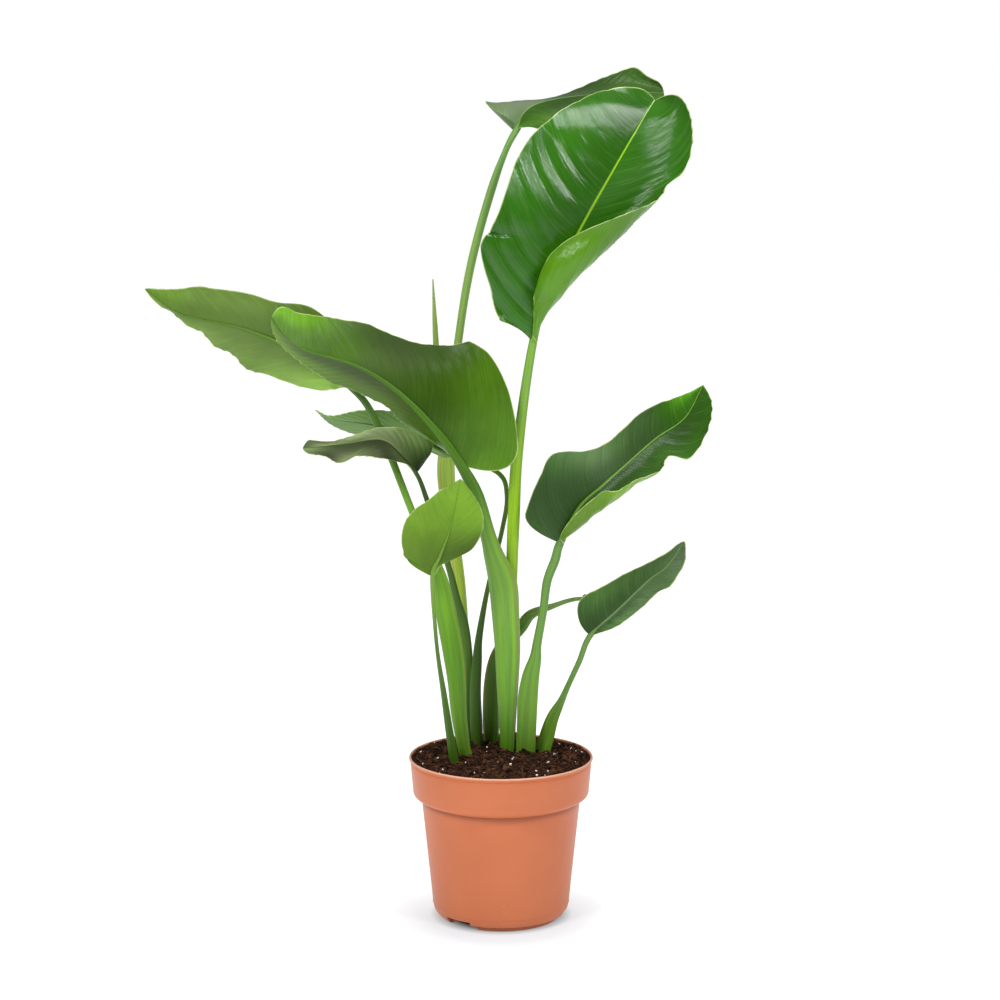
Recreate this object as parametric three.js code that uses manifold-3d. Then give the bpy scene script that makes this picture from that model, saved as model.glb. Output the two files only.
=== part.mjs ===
// A young bird of paradise plant in its plastic nursery pot.
// Units are millimetres. The origin is the centre of the pot's underside and +Z is up.
// +X is to the right in the front view and -Y is toward the viewer.
import * as THREE from "three";
import { mergeVertices } from "three/addons/utils/BufferGeometryUtils.js";
import Module from "manifold-3d";

const { Manifold, Mesh: SolidMesh } = await initSolids();

// Pot
const POT_SIDES = 32;
const LIP_RADIUS = 94.6;
const LIP_HEIGHT = 168;
const FLOOR_TOP = 6.5;
const FOOT_RADIUS = 61.2;
const NOTCH_ANGLE = 230;
const NOTCHES = 3;
const NOTCH_TURN = 36;
const NOTCH_HEIGHT = 4.2;
const NOTCH_START = 56;
const NOTCH_END = 70;
const OPENING_TURN = 25;
const OPENING_START = 62.5;
const OPENING_HEIGHT = 9.2;
const CHANNEL_WIDTH = 11;
const CHANNEL_START = 28;
const DRAIN_RADIUS = 4.5;
const DRAIN_SIDES = 12;
const DRAIN_AT = 46;
const BELOW_GROUND = 1;
// Soil
const SOIL_LEVEL = 166;
const SOIL_MOUND = 4;
const SOIL_LUMP = 1.8;
const SOIL_RINGS = [90.8, 80, 66, 52, 38, 24, 11];
const SOIL_EDGE_POWER = 6;
// Lumps of the soil: radians per mm and start of the broad waves, radians per mm of the small ones.
const BROAD_ALONG_X = [0.23, 1.3];
const BROAD_ALONG_Y = [0.19, -0.4];
const SMALL_WAVES = [0.41, -0.37];
const SMALL_SHARE = 0.6;
// Gap between pieces that touch, and between a stem and its blade
const GAP = 0.35;
const JOINT_GAP = 0.8;
// Plant
const BLADE_THICKNESS = 0.9;
const MIDRIB_DEPTH = 2.6;
const STALK_HALF = 2.2;
const TIP_HALF = 1;
const MIDRIB_TAPER = 0.8;
// A blade's body is full where a half is this wide, and thinner at its narrow ends.
const FULL_BODY_HALF = 9;
const THIN_SHARE = 0.25;
const FLAT_BASE = 0.04;
const SWEEP_POWER = 1.6;
const STEM_SIDES = 10;
const STEM_STATIONS = 14;
const ROOT_DEPTH = 28;
const ROOT_SHARE = 0.9;
const HOLE_SHARE = 0.3;
const SPEAR_STATIONS = 9;
const SPEAR_OPEN = [-0.5, 0.85, 0];
// Steps of the curves
const RIB_STEPS = 300;
const RIB_REACH = 36;
const FINE_STEPS = 1200;
const SUB_STEPS = 8;
// Points of a mesh closer than this are one point, and heights closer than this are one level.
const SAME_POINT = 1e-3;
const SAME_LEVEL = 0.01;

// Outer profile of the pot from the foot up: radius, height.
const OUTER = [
  [FOOT_RADIUS, 0],
  [FOOT_RADIUS + 0.6, NOTCH_HEIGHT],
  [66.8, 4.5],
  [68.3, 6.2],
  [69.5, 9.3],
  [70.4, 14],
  [81.5, 121.5],
  [82.4, 124.8],
  [86.7, 127.2],
  [89.3, 129.8],
  [90.7, 133.5],
  [93.3, 163.5],
  [LIP_RADIUS, 164.6],
  [LIP_RADIUS, 167],
  [LIP_RADIUS - 1, LIP_HEIGHT],
];
// Inner profile from the lip down to the floor.
const INNER = [
  [92.4, LIP_HEIGHT],
  [91.6, 163],
  [89, 134.5],
  [87.4, 131],
  [80.6, 126],
  [79.8, 121],
  [68.7, 14],
  [66, FLOOR_TOP],
];

// Every leaf. stem rows are x, y, z, width, depth and groove of the stem from the soil up, and open
// is the side of the groove. rib is the midrib from the blade's base to its tip. facing is where the
// upper face looks. left and right are the halves seen from the upper face with the tip up.
// Each list runs evenly from base to tip: width in mm, lift off the midrib and curl in degrees.
// bend is the part of the width that curls. round is the share of the length that each end takes
// to round off. sweep is how far the margin runs ahead of the midrib (or behind it, where negative),
// as a share of the width. wave is height, waves, phase.
// joint is a wider gap between stem and blade where the basal lobes lie close.
const LEAVES = {
  top_back: {
    color: 0x5f8f3a,
    open: [-0.5, 0.85, 0],
    stem: [
      [-42, 68, 162, 13, 12, 0.3],
      [-40, 66, 264, 13, 12, 0.4],
      [-43, 64, 329, 13, 12, 0.6],
      [-51, 62, 393, 15, 13, 1.2],
      [-57, 60, 456, 19.5, 14, 1.6],
      [-53, 60, 510, 12, 10, 0.9],
      [-44, 62, 590, 9, 8.5, 0.3],
      [-30, 72, 672, 9, 8.5, 0.3],
      [-5, 88, 759, 9, 8, 0.3],
      [14, 98, 804, 8, 7, 0.3],
    ],
    rib: [
      [14, 98, 804],
      [29, 100, 827],
      [61, 101, 837],
      [123, 104, 843],
      [168, 110, 842],
    ],
    facing: [
      [-0.7, -0.5, 0.45],
      [-0.35, -0.15, 0.9],
      [-0.1, -0.06, 1],
      [0, -0.05, 1],
      [0, -0.05, 1],
    ],
    left: {
      width: [33.1, 55, 62, 62, 59.8, 56, 47.7, 41.7, 23.4, 23.9],
      lift: [43.6, 19, 3.8, 1.6, 2.6, 8.3, 19.3, 30.3, 40.5],
      curl: [18.5, -11, -23, -12.7, -1.2, 18.9, 44.4, 75.7, 102.1],
      bend: [[0, 0, 0, 0.2, 0.5, 0.5], [1, 1, 1, 1, 0.85, 0.9]],
      sweep: [0.13, -0.21, -0.3, -0.19, 0, 0.28, 0.23, 0.06],
      round: [0.05, 0.15],
    },
    right: {
      width: [6, 31.9, 48, 56, 57.6, 54.5, 48.5, 41.1],
      lift: [-10, -25, -25, -20],
      curl: [-20],
      sweep: [0.23, -0.28, -0.5, -0.53, -0.44, -0.28, -0.1],
    },
    rows: 18,
    columns: 5,
  },
  tall_front: {
    color: 0x2f6b1c,
    joint: 1.8,
    open: [0.4, -0.9, 0],
    stem: [
      [8, 24, 168, 12, 11, 0.3],
      [10, 17, 275, 12, 11, 0.3],
      [11, 10, 350, 12, 11, 0.3],
      [13, 4, 413, 13, 11, 0.3],
      [17, -3, 486, 12, 10, 0.3],
      [32, -10, 594, 8.6, 7, 0.3],
    ],
    rib: [
      [32, -10, 594],
      [52, -12, 654],
      [77, -10, 705],
      [114, -2, 770],
      [141, 12, 815],
      [154, 28, 834],
    ],
    facing: [
      [0.1, -1, 0.1],
      [0.1, -1, 0.1],
      [0, -0.95, 0.2],
      [-0.2, -0.6, 0.8],
    ],
    left: {
      width: [6, 35.1, 42.3, 55.6, 82.6, 79.2, 80.1, 81.4, 88.5, 85.6, 81.7, 77.9, 65.8, 51.9, 46.8, 45.9],
      lift: [5, 5, 5, 0, 0, 0],
      curl: [10, 5, 0, 0],
      sweep: [0.2, -0.49, -0.05, -0.38, 0.23, 0.17, 0.82, 0.85],
      round: [0.1, 0.2],
      wave: [3, 5, 0],
    },
    right: {
      width: [6, 22, 62.5, 86.2, 81.9, 68.5, 59.4, 68.6, 62.2, 47.4],
      lift: [19.8, 10.3, 12.7, -3, -6.1, 0.6, 17],
      curl: [240, 237.5, 240, 193.5, 142.2, 68.1, 58.3, 48.4, 44.7],
      bend: [[0, 0, 0.16, 0.42, 0.6, 0.5], [1, 1, 0.84, 0.98, 1, 1]],
      sweep: [-0.41, -0.15, 0.01, 0.32, 0.1, 0.47],
      round: [0.1, 0.2],
    },
    rows: 22,
    columns: 7,
  },
  broad_left: {
    color: 0x5f8c30,
    joint: 6.4,
    open: [0.25, 0.97, 0],
    stem: [
      [7, 16, 167, 15, 16, 1.3],
      [7, 14, 204, 18, 18, 1.5],
      [7, 12, 242, 23, 21, 1.6],
      [7, 10, 279, 26.5, 22, 1.6],
      [5, 7, 314, 28.5, 22, 1.6],
      [2, 3, 349, 29.5, 22, 1.5],
      [-7, -1, 378, 21, 17, 1],
      [-13, -6, 399, 16, 14, 0.5],
      [-25, -18, 442, 14.5, 12, 0.3],
      [-40, -30, 474, 10.5, 8, 0.3],
    ],
    rib: [
      [-40, -30, 474],
      [-62, -38, 507],
      [-102, -44, 549],
      [-143, -46, 575],
      [-194, -42, 590],
      [-214, -36, 604],
      [-227, -30, 621],
    ],
    facing: [
      [0.05, 1, -0.1],
      [0.05, 1, -0.1],
      [0.05, 1, 0],
      [0.05, 1, 0],
    ],
    left: {
      width: [30.2, 61.6, 87.9, 89.2, 87.3, 82.7, 66.5, 52.8, 46.2, 45, 42.7, 41.9, 41.1, 36.6, 24.4, 24.8],
      lift: [0, 5, 15, 20, 15],
      curl: [5, 15, 10],
      sweep: [-1.32, 0.15, 0.15, -0.08, -0.09, 0.16, -0, 0.06, 0.7],
      round: [0.06, 0.1],
    },
    right: {
      width: [6, 39.1, 56.7, 52.2, 38.6, 41.7, 43.9, 45.7, 35, 23.4, 24.3, 29],
      lift: [83, 67, 54, 51, 53, 60],
      curl: [10, 0, 0],
      sweep: [-1.01, -0.16, 0.02, 0.14, 0.18, 0.23, 0.03],
      round: [0.12, 0.1],
    },
    rows: 24,
    columns: 5,
  },
  far_left: {
    color: 0x6a8840,
    joint: 1.7,
    open: [-0.2, 0.98, 0],
    stem: [
      [-35, -4, 165, 13, 12, 0.8],
      [-38, -5, 178, 13, 12, 1],
      [-43, -8, 214, 16, 14, 1.3],
      [-45, -10, 249, 19, 15, 1.5],
      [-49, -12, 283, 21.5, 16, 1.6],
      [-56, -13, 322, 20.5, 15, 1.5],
      [-62, -13, 356, 15, 12, 1],
      [-75, -12, 390, 9, 9, 0.4],
      [-90, -8, 424, 7.5, 7, 0.3],
      [-124, 5, 508, 7.5, 7, 0.3],
      [-148, 10, 545, 7, 6, 0.3],
    ],
    rib: [
      [-148, 10, 545],
      [-193, 12, 578],
      [-256, 12, 606],
      [-322, 10, 622],
      [-357, 8, 647],
    ],
    facing: [
      [0.2, 0.9, 0.25],
      [0.15, 0.95, 0.25],
      [0.15, 0.9, 0.35],
    ],
    left: {
      width: [58, 55.2, 43.5, 46.5, 37.2, 36, 34.1, 32.1, 19.2, 6],
      lift: [5],
      curl: [10],
      sweep: [-0.33, -0.13, -0, 0.08, 0.12, 0.16, 0.13],
    },
    right: {
      width: [6, 13.8, 19.9, 35.4, 42.2, 50.6, 44.8, 39.5, 29.9, 22.5, 12.8, 6.3, 6, 6],
      lift: [5],
      curl: [20],
      sweep: [0.34, -0.86, 0.13, 0.17, 0.15, -0.52, -0.64],
      wave: [3, 6, 0],
    },
    rows: 22,
    columns: 4,
  },
  small_left: {
    color: 0x2e4018,
    joint: 1.1,
    open: [0, -1, 0.3],
    stem: [
      [-35, 52, 164, 11, 10, 0.3],
      [-35, 47, 226, 11, 10, 0.5],
      [-35, 43, 264, 10, 9.5, 0.5],
      [-39, 38, 298, 10, 9, 0.5],
      [-46, 34, 324, 9, 8, 0.4],
      [-53, 28, 357, 6.5, 6.2, 0.3],
      [-75, 4, 433, 5.5, 5.2, 0.3],
      [-85, -8, 463, 4.8, 4.4, 0.3],
    ],
    rib: [
      [-85, -8, 463],
      [-97, -12, 478],
      [-119, -18, 497],
      [-154, -22, 494],
      [-198, -26, 490],
    ],
    facing: [
      [0.3, -0.6, 0.7],
      [0, -0.5, 0.85],
      [-0.3, -0.5, 0.8],
    ],
    left: {
      width: [6, 6, 28.6, 37.5, 36.4, 32.2, 29.4, 39.3, 37.4, 24.1, 17, 16.8],
      lift: [5],
      curl: [10],
      sweep: [0.85, 0.62, 0.41, 0.32, 0.19, 0.04, -0.08],
      round: [0.05, 0.1],
    },
    right: {
      width: [36.2, 38.7, 31.8, 19.6, 16.4, 12.5, 9.1, 6, 9, 12],
      lift: [5],
      curl: [10],
      sweep: [-0.11, -0.2, 0.18, -0.3, -0.12, 0.06, -0.26],
      round: [0.12, 0.05],
    },
    rows: 16,
    columns: 4,
  },
  round_front: {
    color: 0x80a33d,
    open: [0.3, 0.9, 0],
    stem: [
      [-48, -26, 169, 10, 9, 0.3],
      [-53, -32, 206, 8, 7.5, 0.3],
      [-58, -38, 244, 6, 5.6, 0.3],
      [-63, -45, 280, 4.2, 4.2, 0.3],
      [-66, -51, 315, 4, 4, 0.3],
      [-68, -58, 366, 4.5, 4, 0.3],
    ],
    rib: [
      [-68, -58, 366],
      [-60, -63, 388],
      [-50, -66, 416],
      [-43, -64, 449],
      [-40, -60, 464],
    ],
    facing: [
      [0.3, 0.9, 0.3],
      [0.2, 0.9, 0.3],
      [0.1, 0.9, 0.1],
    ],
    left: {
      width: [6, 6.7, 25.6, 30.4, 31.9, 30.9, 29, 23.3, 6],
      lift: [5],
      curl: [20],
      sweep: [0.85, 0.53, 0.35, 0.22, 0, -0.32, -0.42],
      round: [0.15, 0.05],
    },
    right: {
      width: [53, 38.1, 46.4, 47.7, 43.3, 37.3, 24.1, 14.3, 6],
      lift: [5],
      curl: [20],
      sweep: [0.06, -0.17, 0.04, 0.15, 0.1, 0.25, -0.65],
      round: [0.15, 0.05],
    },
    rows: 14,
    columns: 4,
  },
  pale_behind: {
    color: 0x6d8855,
    joint: 1.2,
    open: [-0.5, 0.85, 0],
    stem: [
      [-25, 36, 165, 11, 10, 0.5],
      [-26, 36, 191, 13, 11, 0.8],
      [-27, 34, 227, 11.5, 10, 0.8],
      [-25, 33, 262, 10, 9, 0.5],
      [-22, 31, 291, 7.5, 7, 0.3],
      [-13, 28, 341, 5, 4.8, 0.3],
      [1, 23, 399, 5, 4.8, 0.3],
      [6, 19, 436, 5, 4.8, 0.3],
      [-4, 18, 460, 5, 4.8, 0.3],
      [-50, 24, 477, 5, 4.4, 0.3],
    ],
    rib: [
      [-50, 24, 477],
      [-93, 32, 499],
      [-134, 36, 507],
      [-170, 40, 512],
      [-190, 42, 521],
    ],
    facing: [
      [0.1, 0.5, 0.8],
      [0, 0.5, 0.8],
    ],
    left: {
      width: [10.9, 19.9, 30, 30, 27.3, 17, 6],
      lift: [2.6, 0.7, 1.8, -13.5, -40.5],
      curl: [10],
      sweep: [-0.23, -0.09, 0.06, 0.17, 0.24, 0.29, 0.25],
    },
    right: {
      width: [15.5, 25.6, 34.3, 40, 40, 25.5, 8],
      lift: [0.7, -1.2, -2.1, 1.9, 6.1],
      curl: [10],
      sweep: [-0.27, -0.09, 0.06, 0.17, 0.25, 0.3, 0.27],
    },
    rows: 14,
    columns: 3,
  },
  upper_right: {
    color: 0x325125,
    joint: 1.8,
    open: [-0.3, -0.9, 0],
    stem: [
      [25, 8, 165, 20, 14, 0.6],
      [26, 4, 199, 20, 14, 0.8],
      [27, 2, 226, 20.5, 14, 0.9],
      [30, 2, 250, 17.5, 12, 0.8],
      [35, 3, 270, 12, 10, 0.5],
      [37, 3, 285, 9.5, 9, 0.3],
      [43, 2, 319, 8.5, 8, 0.3],
      [47, 0, 350, 9, 8.5, 0.3],
      [55, -3, 373, 9.5, 8.5, 0.3],
      [60, -6, 391, 8.6, 6.6, 0.3],
    ],
    rib: [
      [60, -6, 391],
      [79, -8, 428],
      [102, -8, 450],
      [130, -7, 475],
      [157, -4, 498],
      [186, 2, 518],
      [204, 8, 550],
    ],
    facing: [
      [0, -1, 0.15],
      [-0.05, -1, 0.15],
      [-0.1, -1, 0.2],
    ],
    left: {
      width: [40.8, 45.5, 48.3, 51.9, 57.1, 38.7, 30, 29.3, 30.2, 29.2, 28, 24.1, 17.6, 6],
      lift: [5],
      curl: [10],
      sweep: [-0.13, -0.11, -0.11, 0.01, 0.35, 0.41, -0.08, -0.57],
      round: [0.08, 0.12],
    },
    right: {
      width: [6, 30.6, 43.7, 53.3, 53.3, 48.6, 51.6, 31.3, 46.5, 46.3, 31.8, 6],
      lift: [8.8, -20.2, 7.4, 17.6, 27.8, 34.3, 27.2],
      curl: [240, 215.7, 183.8, 127.6, 98.1, 47.1, 20.8, 46.5, 6.9],
      bend: [[0, 0, 0.12, 0.3, 0.3], [1]],
      sweep: [-0.43, 0.27, -0.04, 0.09, -0.16, 0.32],
    },
    rows: 22,
    columns: 6,
  },
  lower_right: {
    color: 0x406132,
    open: [-0.3, -0.9, 0],
    stem: [
      [43, 14, 167, 15.5, 11, 0.6],
      [47, 12, 185, 15, 11, 0.8],
      [53, 8, 206, 12, 9.5, 0.7],
      [62, 3, 225, 7.5, 7, 0.4],
      [69, 0, 242, 5.8, 5.6, 0.3],
      [80, -5, 268, 5.8, 5.6, 0.3],
      [91, -10, 296, 6, 5, 0.3],
    ],
    rib: [
      [91, -10, 296],
      [118, -14, 323],
      [149, -12, 353],
      [169, -8, 368],
      [186, -4, 392],
    ],
    facing: [
      [0, -1, 0.15],
      [-0.1, -0.95, 0.3],
    ],
    left: {
      width: [20.1, 33.3, 30.6, 26.2, 21.6, 15.8, 13.3, 8, 6],
      lift: [5],
      curl: [10],
      sweep: [-0.19, 0.11, 0.05, 0.05, 0.06, 0.13, -0.37],
    },
    right: {
      width: [6, 11.6, 14.4, 16.3, 16.4, 19.4, 15.6, 12.3, 6],
      lift: [5],
      curl: [20],
      sweep: [0.85, 0.51, 0.51, 0.85, 0.36, 0.21, 0.07],
    },
    rows: 14,
    columns: 3,
  },
  arched_back: {
    color: 0x5c8a3c,
    open: [0.2, 0.95, -0.1],
    stem: [
      [-10, 54, 163, 15, 13, 0.7],
      [-10, 52, 199, 17, 14, 1],
      [-9, 50, 233, 16, 13, 1],
      [-4, 48, 259, 15, 12, 0.8],
      [7, 46, 278, 14, 11, 0.6],
      [21, 43, 294, 12.5, 10, 0.5],
      [32, 41, 308, 10, 8.5, 0.4],
      [55, 37, 318, 6.5, 6, 0.3],
      [70, 34, 324, 5.5, 5.2, 0.3],
      [85, 32, 327, 4.5, 4.2, 0.3],
    ],
    rib: [
      [85, 32, 327],
      [104, 48, 322],
      [128, 70, 306],
    ],
    facing: [
      [0, -0.2, 1],
      [0, -0.2, 1],
    ],
    left: {
      width: [6, 11, 5],
      lift: [5],
      curl: [10],
      sweep: [0, 0.05, 0.1, 0.16, 0.21, 0.23, 0.25],
    },
    right: {
      width: [6, 11, 5],
      lift: [5],
      curl: [10],
      sweep: [0, 0.05, 0.1, 0.16, 0.21, 0.23, 0.25],
    },
    rows: 10,
    columns: 2,
  },
};

// The rolled new leaf: x, y, z, width, depth and groove from its foot in the sheath to its tip.
const SPEAR = [
  [-55.2, 60, 428, 5, 4.4, 0],
  [-56.4, 60.4, 462, 6, 5, 0],
  [-61, 66, 505, 8, 6, 0],
  [-65.5, 68, 560, 7.2, 6, 0],
  [-68, 68.5, 606, 5.6, 5, 0],
  [-70, 69, 653, 1.2, 1.2, 0],
];

async function initSolids() {
  const wasm = await Module();
  wasm.setup();
  return wasm;
}

const toVector = (row) => new THREE.Vector3(row[0], row[1], row[2]);
const clamp = THREE.MathUtils.clamp;
const radians = THREE.MathUtils.degToRad;

// A closed geometry as a solid with its faces pointing outward.
function solid(geometry) {
  const bare = new THREE.BufferGeometry();
  bare.setAttribute("position", geometry.getAttribute("position"));
  bare.setIndex(geometry.index);
  const merged = mergeVertices(bare, SAME_POINT);
  const corners = Array.from(merged.index.array);
  const faces = [];
  for (let i = 0; i < corners.length; i += 3) {
    const [a, b, c] = corners.slice(i, i + 3);
    if (a !== b && b !== c && a !== c) faces.push([a, b, c]);
  }
  const build = (order) =>
    new Manifold(
      new SolidMesh({
        numProp: 3,
        vertProperties: merged.getAttribute("position").array,
        triVerts: new Uint32Array(faces.flatMap(order)),
      }),
    );
  const made = build(([a, b, c]) => [a, b, c]);
  return made.volume() > 0 ? made : build(([a, b, c]) => [a, c, b]);
}

// A geometry from points and faces, each face being three point numbers.
function geometryFrom(points, faces) {
  const geometry = new THREE.BufferGeometry().setFromPoints(points);
  geometry.setIndex(faces.flat());
  return geometry;
}

// Smooth value at t (0 to 1) through equally spaced numbers.
function along(values, t) {
  const last = values.length - 1;
  if (last === 0) return values[0];
  const place = clamp(t, 0, 1) * last;
  const i = Math.min(Math.floor(place), last - 1);
  const f = place - i;
  const b = values[i];
  const c = values[i + 1];
  const a = i > 0 ? values[i - 1] : 2 * b - c;
  const d = i + 2 <= last ? values[i + 2] : 2 * c - b;
  const square = 2 * a - 5 * b + 4 * c - d;
  const cube = 3 * b - a - 3 * c + d;
  return 0.5 * (2 * b + (c - a) * f + square * f ** 2 + cube * f ** 3);
}

// The same for rows of numbers, one smooth value for each column.
function rowAlong(rows, t) {
  return rows[0].map((_, k) =>
    along(
      rows.map((row) => row[k]),
      t,
    ),
  );
}

// Rows of a smooth curve at count equal distances, and its length.
function evenly(sample, count) {
  const fine = Array.from({ length: FINE_STEPS + 1 }, (_, i) => sample(i / FINE_STEPS));
  const sum = [0];
  for (let i = 1; i <= FINE_STEPS; i++) {
    sum.push(sum[i - 1] + toVector(fine[i]).distanceTo(toVector(fine[i - 1])));
  }
  const length = sum[FINE_STEPS];
  let i = 1;
  const rows = Array.from({ length: count + 1 }, (_, n) => {
    const at = (length * n) / count;
    while (i < FINE_STEPS && sum[i] < at) i++;
    const f = clamp((at - sum[i - 1]) / (sum[i] - sum[i - 1]), 0, 1);
    return fine[i - 1].map((value, k) => value + (fine[i][k] - value) * f);
  });
  return { rows, length };
}

// The stem and the midrib are one smooth curve; this gives the part that is the midrib.
function midrib(leaf) {
  const below = leaf.stem.slice(0, -1).map((row) => row.slice(0, 3));
  const knots = below.concat(leaf.rib);
  const start = below.length / (knots.length - 1);
  return evenly((t) => rowAlong(knots, start + (1 - start) * t), RIB_STEPS);
}

// Position of the blade's midrib at distance x from its base, its upward and its right direction.
function bladeAxes(leaf, rib, x) {
  const at = clamp(x / rib.length, 0, 1) * RIB_STEPS;
  const i = Math.min(Math.floor(at), RIB_STEPS - 1);
  const here = toVector(rib.rows[i]).lerp(toVector(rib.rows[i + 1]), at - i);
  const before = toVector(rib.rows[Math.round(Math.max(at - RIB_REACH, 0))]);
  const after = toVector(rib.rows[Math.round(Math.min(at + RIB_REACH, RIB_STEPS))]);
  const tip = after.sub(before).normalize();
  const up = toVector(rowAlong(leaf.facing, at / RIB_STEPS));
  up.addScaledVector(tip, -up.dot(tip)).normalize();
  const right = tip.clone().cross(up);
  here.addScaledVector(tip, x - clamp(x, 0, rib.length));
  return { here, up, right };
}

// Half width of the blade at u (0 base, 1 tip), rounded off at both ends.
function halfWidth(half, u) {
  const [base, tip] = half.round ?? [0.12, 0.15];
  const a = 1 - Math.min(u / base, 1);
  const b = 1 - Math.min((1 - u) / tip, 1);
  const full = along(half.width, u) * Math.sqrt(1 - a * a) * Math.sqrt(1 - b * b);
  return Math.max(full, u < 0.5 ? STALK_HALF : TIP_HALF);
}

// Points across one half of the blade at u, from the midrib to the margin. side is -1 or 1.
function acrossHalf(leaf, rib, half, side, u) {
  const edge = halfWidth(half, u);
  const sweep = along(half.sweep, u);
  const turn = Math.min(u / FLAT_BASE, 1);
  const lift = radians(along(half.lift, u)) * turn;
  const curl = radians(along(half.curl, u)) * turn;
  const [from, to] = half.bend ?? [[0], [1]];
  const bendFrom = along(from, u);
  const bendTo = along(to, u);
  const angleAt = (v) => lift + curl * clamp((v - bendFrom) / (bendTo - bendFrom), 0, 1);
  const [waveHeight, waves, phase] = half.wave ?? [0, 1, 0];
  const swell = Math.sin(2 * Math.PI * (waves * u + phase)) * Math.sqrt(Math.sin(Math.PI * u));
  const steps = SUB_STEPS * leaf.columns;
  const points = [];
  let sideways = 0;
  let upward = 0;
  for (let s = 0; s <= steps; s++) {
    const v = s / steps;
    if (s % SUB_STEPS === 0) {
      const x = rib.length * u + sweep * edge * v ** SWEEP_POWER;
      const { here, up, right } = bladeAxes(leaf, rib, x);
      const wave = waveHeight * v * v * swell;
      here.addScaledVector(right, side * (sideways - wave * Math.sin(angleAt(v))));
      here.addScaledVector(up, upward + wave * Math.cos(angleAt(v)));
      points.push(here);
    }
    const middle = angleAt(v + 0.5 / steps);
    sideways += (edge / steps) * Math.cos(middle);
    upward += (edge / steps) * Math.sin(middle);
  }
  return points;
}

// Two grids of points closed into a thin solid: an upper and a lower skin joined round the edge.
function thinSolid(upper, lower) {
  const rows = upper.length;
  const columns = upper[0].length;
  const top = (r, c) => r * columns + c;
  const under = (r, c) => rows * columns + top(r, c);
  const faces = [];
  for (let r = 0; r < rows - 1; r++) {
    for (let c = 0; c < columns - 1; c++) {
      faces.push([top(r, c), top(r, c + 1), top(r + 1, c + 1)]);
      faces.push([top(r, c), top(r + 1, c + 1), top(r + 1, c)]);
      faces.push([under(r, c), under(r + 1, c + 1), under(r, c + 1)]);
      faces.push([under(r, c), under(r + 1, c), under(r + 1, c + 1)]);
    }
  }
  const border = [];
  for (let c = 0; c < columns - 1; c++) border.push([0, c]);
  for (let r = 0; r < rows - 1; r++) border.push([r, columns - 1]);
  for (let c = columns - 1; c > 0; c--) border.push([rows - 1, c]);
  for (let r = rows - 1; r > 0; r--) border.push([r, 0]);
  border.forEach(([r, c], i) => {
    const [r2, c2] = border[(i + 1) % border.length];
    faces.push([top(r, c), under(r, c), under(r2, c2)]);
    faces.push([top(r, c), under(r2, c2), top(r2, c2)]);
  });
  return solid(geometryFrom([...upper.flat(), ...lower.flat()], faces));
}

// A leaf's blade: both halves as one thin skin, with the midrib standing out underneath.
function blade(leaf) {
  const rib = midrib(leaf);
  const rows = [];
  const backs = [];
  const bodies = [];
  for (let r = 0; r <= leaf.rows; r++) {
    const u = (1 - Math.cos((Math.PI * r) / leaf.rows)) / 2;
    backs.push(bladeAxes(leaf, rib, rib.length * u).up);
    const left = acrossHalf(leaf, rib, leaf.left, -1, u);
    const right = acrossHalf(leaf, rib, leaf.right, 1, u);
    rows.push([...left.reverse(), ...right.slice(1)]);
    const body = (half) => clamp(halfWidth(half, u) / FULL_BODY_HALF, THIN_SHARE, 1);
    bodies.push([body(leaf.left), body(leaf.right)]);
  }
  const last = rows.length - 1;
  const middle = leaf.columns;
  const upper = [];
  const lower = [];
  rows.forEach((row, r) => {
    const normals = row.map((_, c) => {
      if (c === middle) return backs[r];
      const lengthwise = rows[Math.min(r + 1, last)][c].clone().sub(rows[Math.max(r - 1, 0)][c]);
      const crosswise = row[Math.min(c + 1, 2 * middle)].clone().sub(row[Math.max(c - 1, 0)]);
      return crosswise.cross(lengthwise).normalize();
    });
    const thinner = Math.min(...bodies[r]);
    const ridge = MIDRIB_DEPTH * thinner * (1 - (MIDRIB_TAPER * r) / last);
    const halfAt = row.map((_, c) => {
      const share = c === middle ? thinner : bodies[r][c < middle ? 0 : 1];
      return (BLADE_THICKNESS / 2) * share;
    });
    upper.push(row.map((p, c) => p.clone().addScaledVector(normals[c], halfAt[c])));
    lower.push(
      row.map((p, c) => {
        const depth = c === middle ? halfAt[c] + ridge : halfAt[c];
        return p.clone().addScaledVector(normals[c], -depth);
      }),
    );
  });
  return thinSolid(upper, lower);
}

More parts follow.
